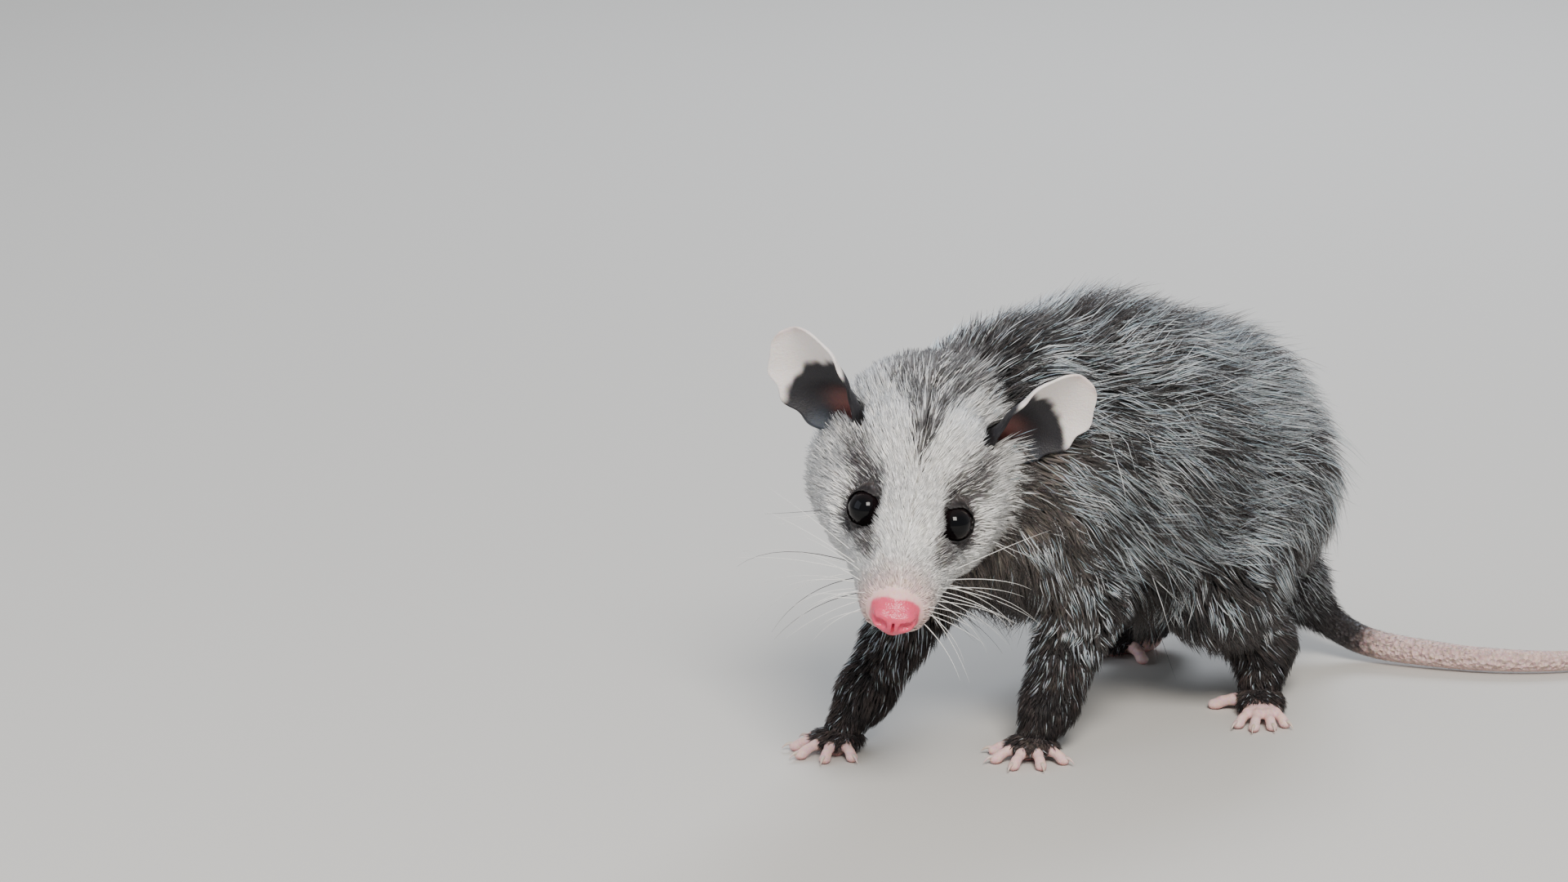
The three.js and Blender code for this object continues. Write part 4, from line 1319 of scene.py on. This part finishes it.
def makeWhiskers():
    lines, dark = [], []
    for side in (1, -1):
        for row in range(whiskers["rows"]):
            for column in range(whiskers["columns"]):
                at = np.array([44 - column * 2.9, (5.6 + column * 0.85) * side, -5.4 - row * 1.5])
                length = (20 + column * 4.0 - row * 1.5) * random.uniform(0.8, 1.15)
                way = np.array((0.35 - column * 0.16, (1.0 + 0.06 * row) * side, 0.34 - row * 0.24))
                way = way + random.normal(0, 0.17, 3)
                droop = np.array((-0.18, -0.22 * side, -0.42)) * random.uniform(0.6, 1.3)
                lines.append(arched(at + random.normal(0, 0.35, 3), way, droop, length))
                dark.append((row + column) % 6 == 5)
        for i in range(whiskers["overEye"]):
            at = np.array([23.0 - i * 1.6, (6.6 + i * 0.9) * side, 6.3 + i * 0.15])
            way = np.array([0.25 - 0.1 * i, (0.45 + 0.12 * i) * side, 0.9]) + random.normal(0, 0.07, 3)
            lines.append(arched(at, way, (-0.35, 0.1 * side, -0.1), 13 + 2.0 * (i % 3)))
            dark.append(True)
        for i in range(whiskers["onCheek"]):
            at = np.array([17.0 - i * 2.4, 12.8 * side, -5.5 - i * 1.2])
            way = np.array([0.1, 1.0 * side, -0.25 - 0.1 * i]) + random.normal(0, 0.07, 3)
            lines.append(arched(at, way, (-0.3, 0, -0.2), 19))
            dark.append(i == 1)
    radii = whiskers["radius"] * (1 - 0.85 * np.linspace(0, 1, whiskers["steps"]))
    for kind in ("white", "dark"):
        name, colour = kind + "_whiskers", whiskers[kind]
        chosen = [line for line, isDark in zip(lines, dark) if isDark == (kind == "dark")]
        # Thick single hairs, stiff and smooth, so they catch a line of light
        finish = name.replace("_", " ") + " of stiff hair"
        material, tree, shader = shaderOf(finish, colour, {"Roughness": 0.35})
        grainOver(tree, shader, colour, cell=2.0, share=0.25, detail=2.0)
        dress(joinedSweeps(name, chosen, [radii] * len(chosen), 5), material)


# Claws: short and curved, none on the hind thumbs
claws = dict(length=2.5, radius=0.52, level=1.65, colour="#cbb7ab")


def makeClaws():
    lines = []
    share = np.linspace(0, 1, 9)
    height = claws["level"] + 0.35 * np.sin(share * 2.2) - 1.25 * share ** 2
    for name, plan in footPlans.items():
        for toe in range(5):
            joints, onToe, length, thumb = toePoints(name, toe)
            if not thumb:
                reach = length + 0.1 + claws["length"] * share
                lines.append(fromFoot(np.array([onToe(r, h) for r, h in zip(reach, height)]), plan))
    radii = claws["radius"] * (1 - 0.88 * share ** 1.3)
    # Horn: smooth, hard and a little cloudy
    material, tree, shader = shaderOf("pale translucent claw horn", claws["colour"], {"Roughness": 0.3})
    grainOver(tree, shader, claws["colour"], cell=1.11, share=0.35, detail=3.0)
    dress(joinedSweeps("claws", lines, [radii] * len(lines), 8), material)


makeWhiskers()
makeClaws()
stage("whiskers and claws")


# The camera looks from the front of the animal's left side, a little down. The middle between the eyes
# falls on its place in the picture, where a pixel is as many millimetres as given here
view = dict(azimuth=-42.0, elevation=15.0, lens=120.0, sensor=36.0, wide=1920, high=1080, pixel=0.175,
            eyesMiddle=(-47.0, -18.0, 63.0), eyesPixel=(1114.5, 633.0))


def makeCamera():
    turn, rise = math.radians(view["azimuth"]), math.radians(view["elevation"])
    right = np.array([math.cos(turn), math.sin(turn), 0])
    away = np.array([-math.sin(turn), math.cos(turn), 0])
    look = away * math.cos(rise) - np.array([0, 0, math.sin(rise)])
    up = np.array([0, 0, math.cos(rise)]) + away * math.sin(rise)
    distance = view["lens"] / view["sensor"] * view["wide"] * view["pixel"]
    place = np.array(view["eyesMiddle"]) - look * distance
    place = place - right * (view["eyesPixel"][0] - view["wide"] / 2) * view["pixel"]
    place = place + up * (view["eyesPixel"][1] - view["high"] / 2) * view["pixel"]
    camera = bpy.data.objects.new("camera", bpy.data.cameras.new("camera"))
    camera.data.lens = view["lens"]
    columns = np.column_stack([right, up, -look])
    rows = [[*columns[i], (place[i] + shift[i]) / 1000] for i in range(3)]
    camera.matrix_world = Matrix(rows + [[0, 0, 0, 1]])
    bpy.context.scene.collection.objects.link(camera)
    bpy.context.scene.camera = camera


makeCamera()


# Each lamp's place, size, power and colour; all aim at the middle of the animal
studio = dict(
    floor="#c9c6c0", sky="#dfe3e8", skyStrength=0.6, aim=(0, 0, 0.05),
    key=((-0.55, -0.75, 0.95), 0.45, 20.0, "#fffaf4"),
    fill=((-0.9, 0.35, 0.5), 0.7, 2.2, "#e6eeff"),
    rim=((0.75, 0.55, 0.8), 0.45, 9.0, "#eaf2ff"))


def makeStudio():
    bpy.ops.mesh.primitive_plane_add(size=6, location=(0, 0, 0))
    floor = bpy.context.object
    floor.name = "floor"
    floor.data.materials.append(shaderOf("pale floor", studio["floor"], {"Roughness": 0.85})[0])
    world = bpy.context.scene.world or bpy.data.worlds.new("studio")
    bpy.context.scene.world = world
    world.use_nodes = True
    background = world.node_tree.nodes["Background"]
    background.inputs["Color"].default_value = (*linear(studio["sky"]), 1)
    background.inputs["Strength"].default_value = studio["skyStrength"]
    for name in ("key", "fill", "rim"):
        place, size, power, colour = studio[name]
        data = bpy.data.lights.new(name, "AREA")
        data.size = size
        data.energy = power
        data.color = linear(colour)
        lamp = bpy.data.objects.new(name, data)
        lamp.location = place
        lamp.rotation_euler = (Vector(studio["aim"]) - Vector(place)).to_track_quat("-Z", "Y").to_euler()
        bpy.context.scene.collection.objects.link(lamp)


makeStudio()
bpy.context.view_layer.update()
stage("done")
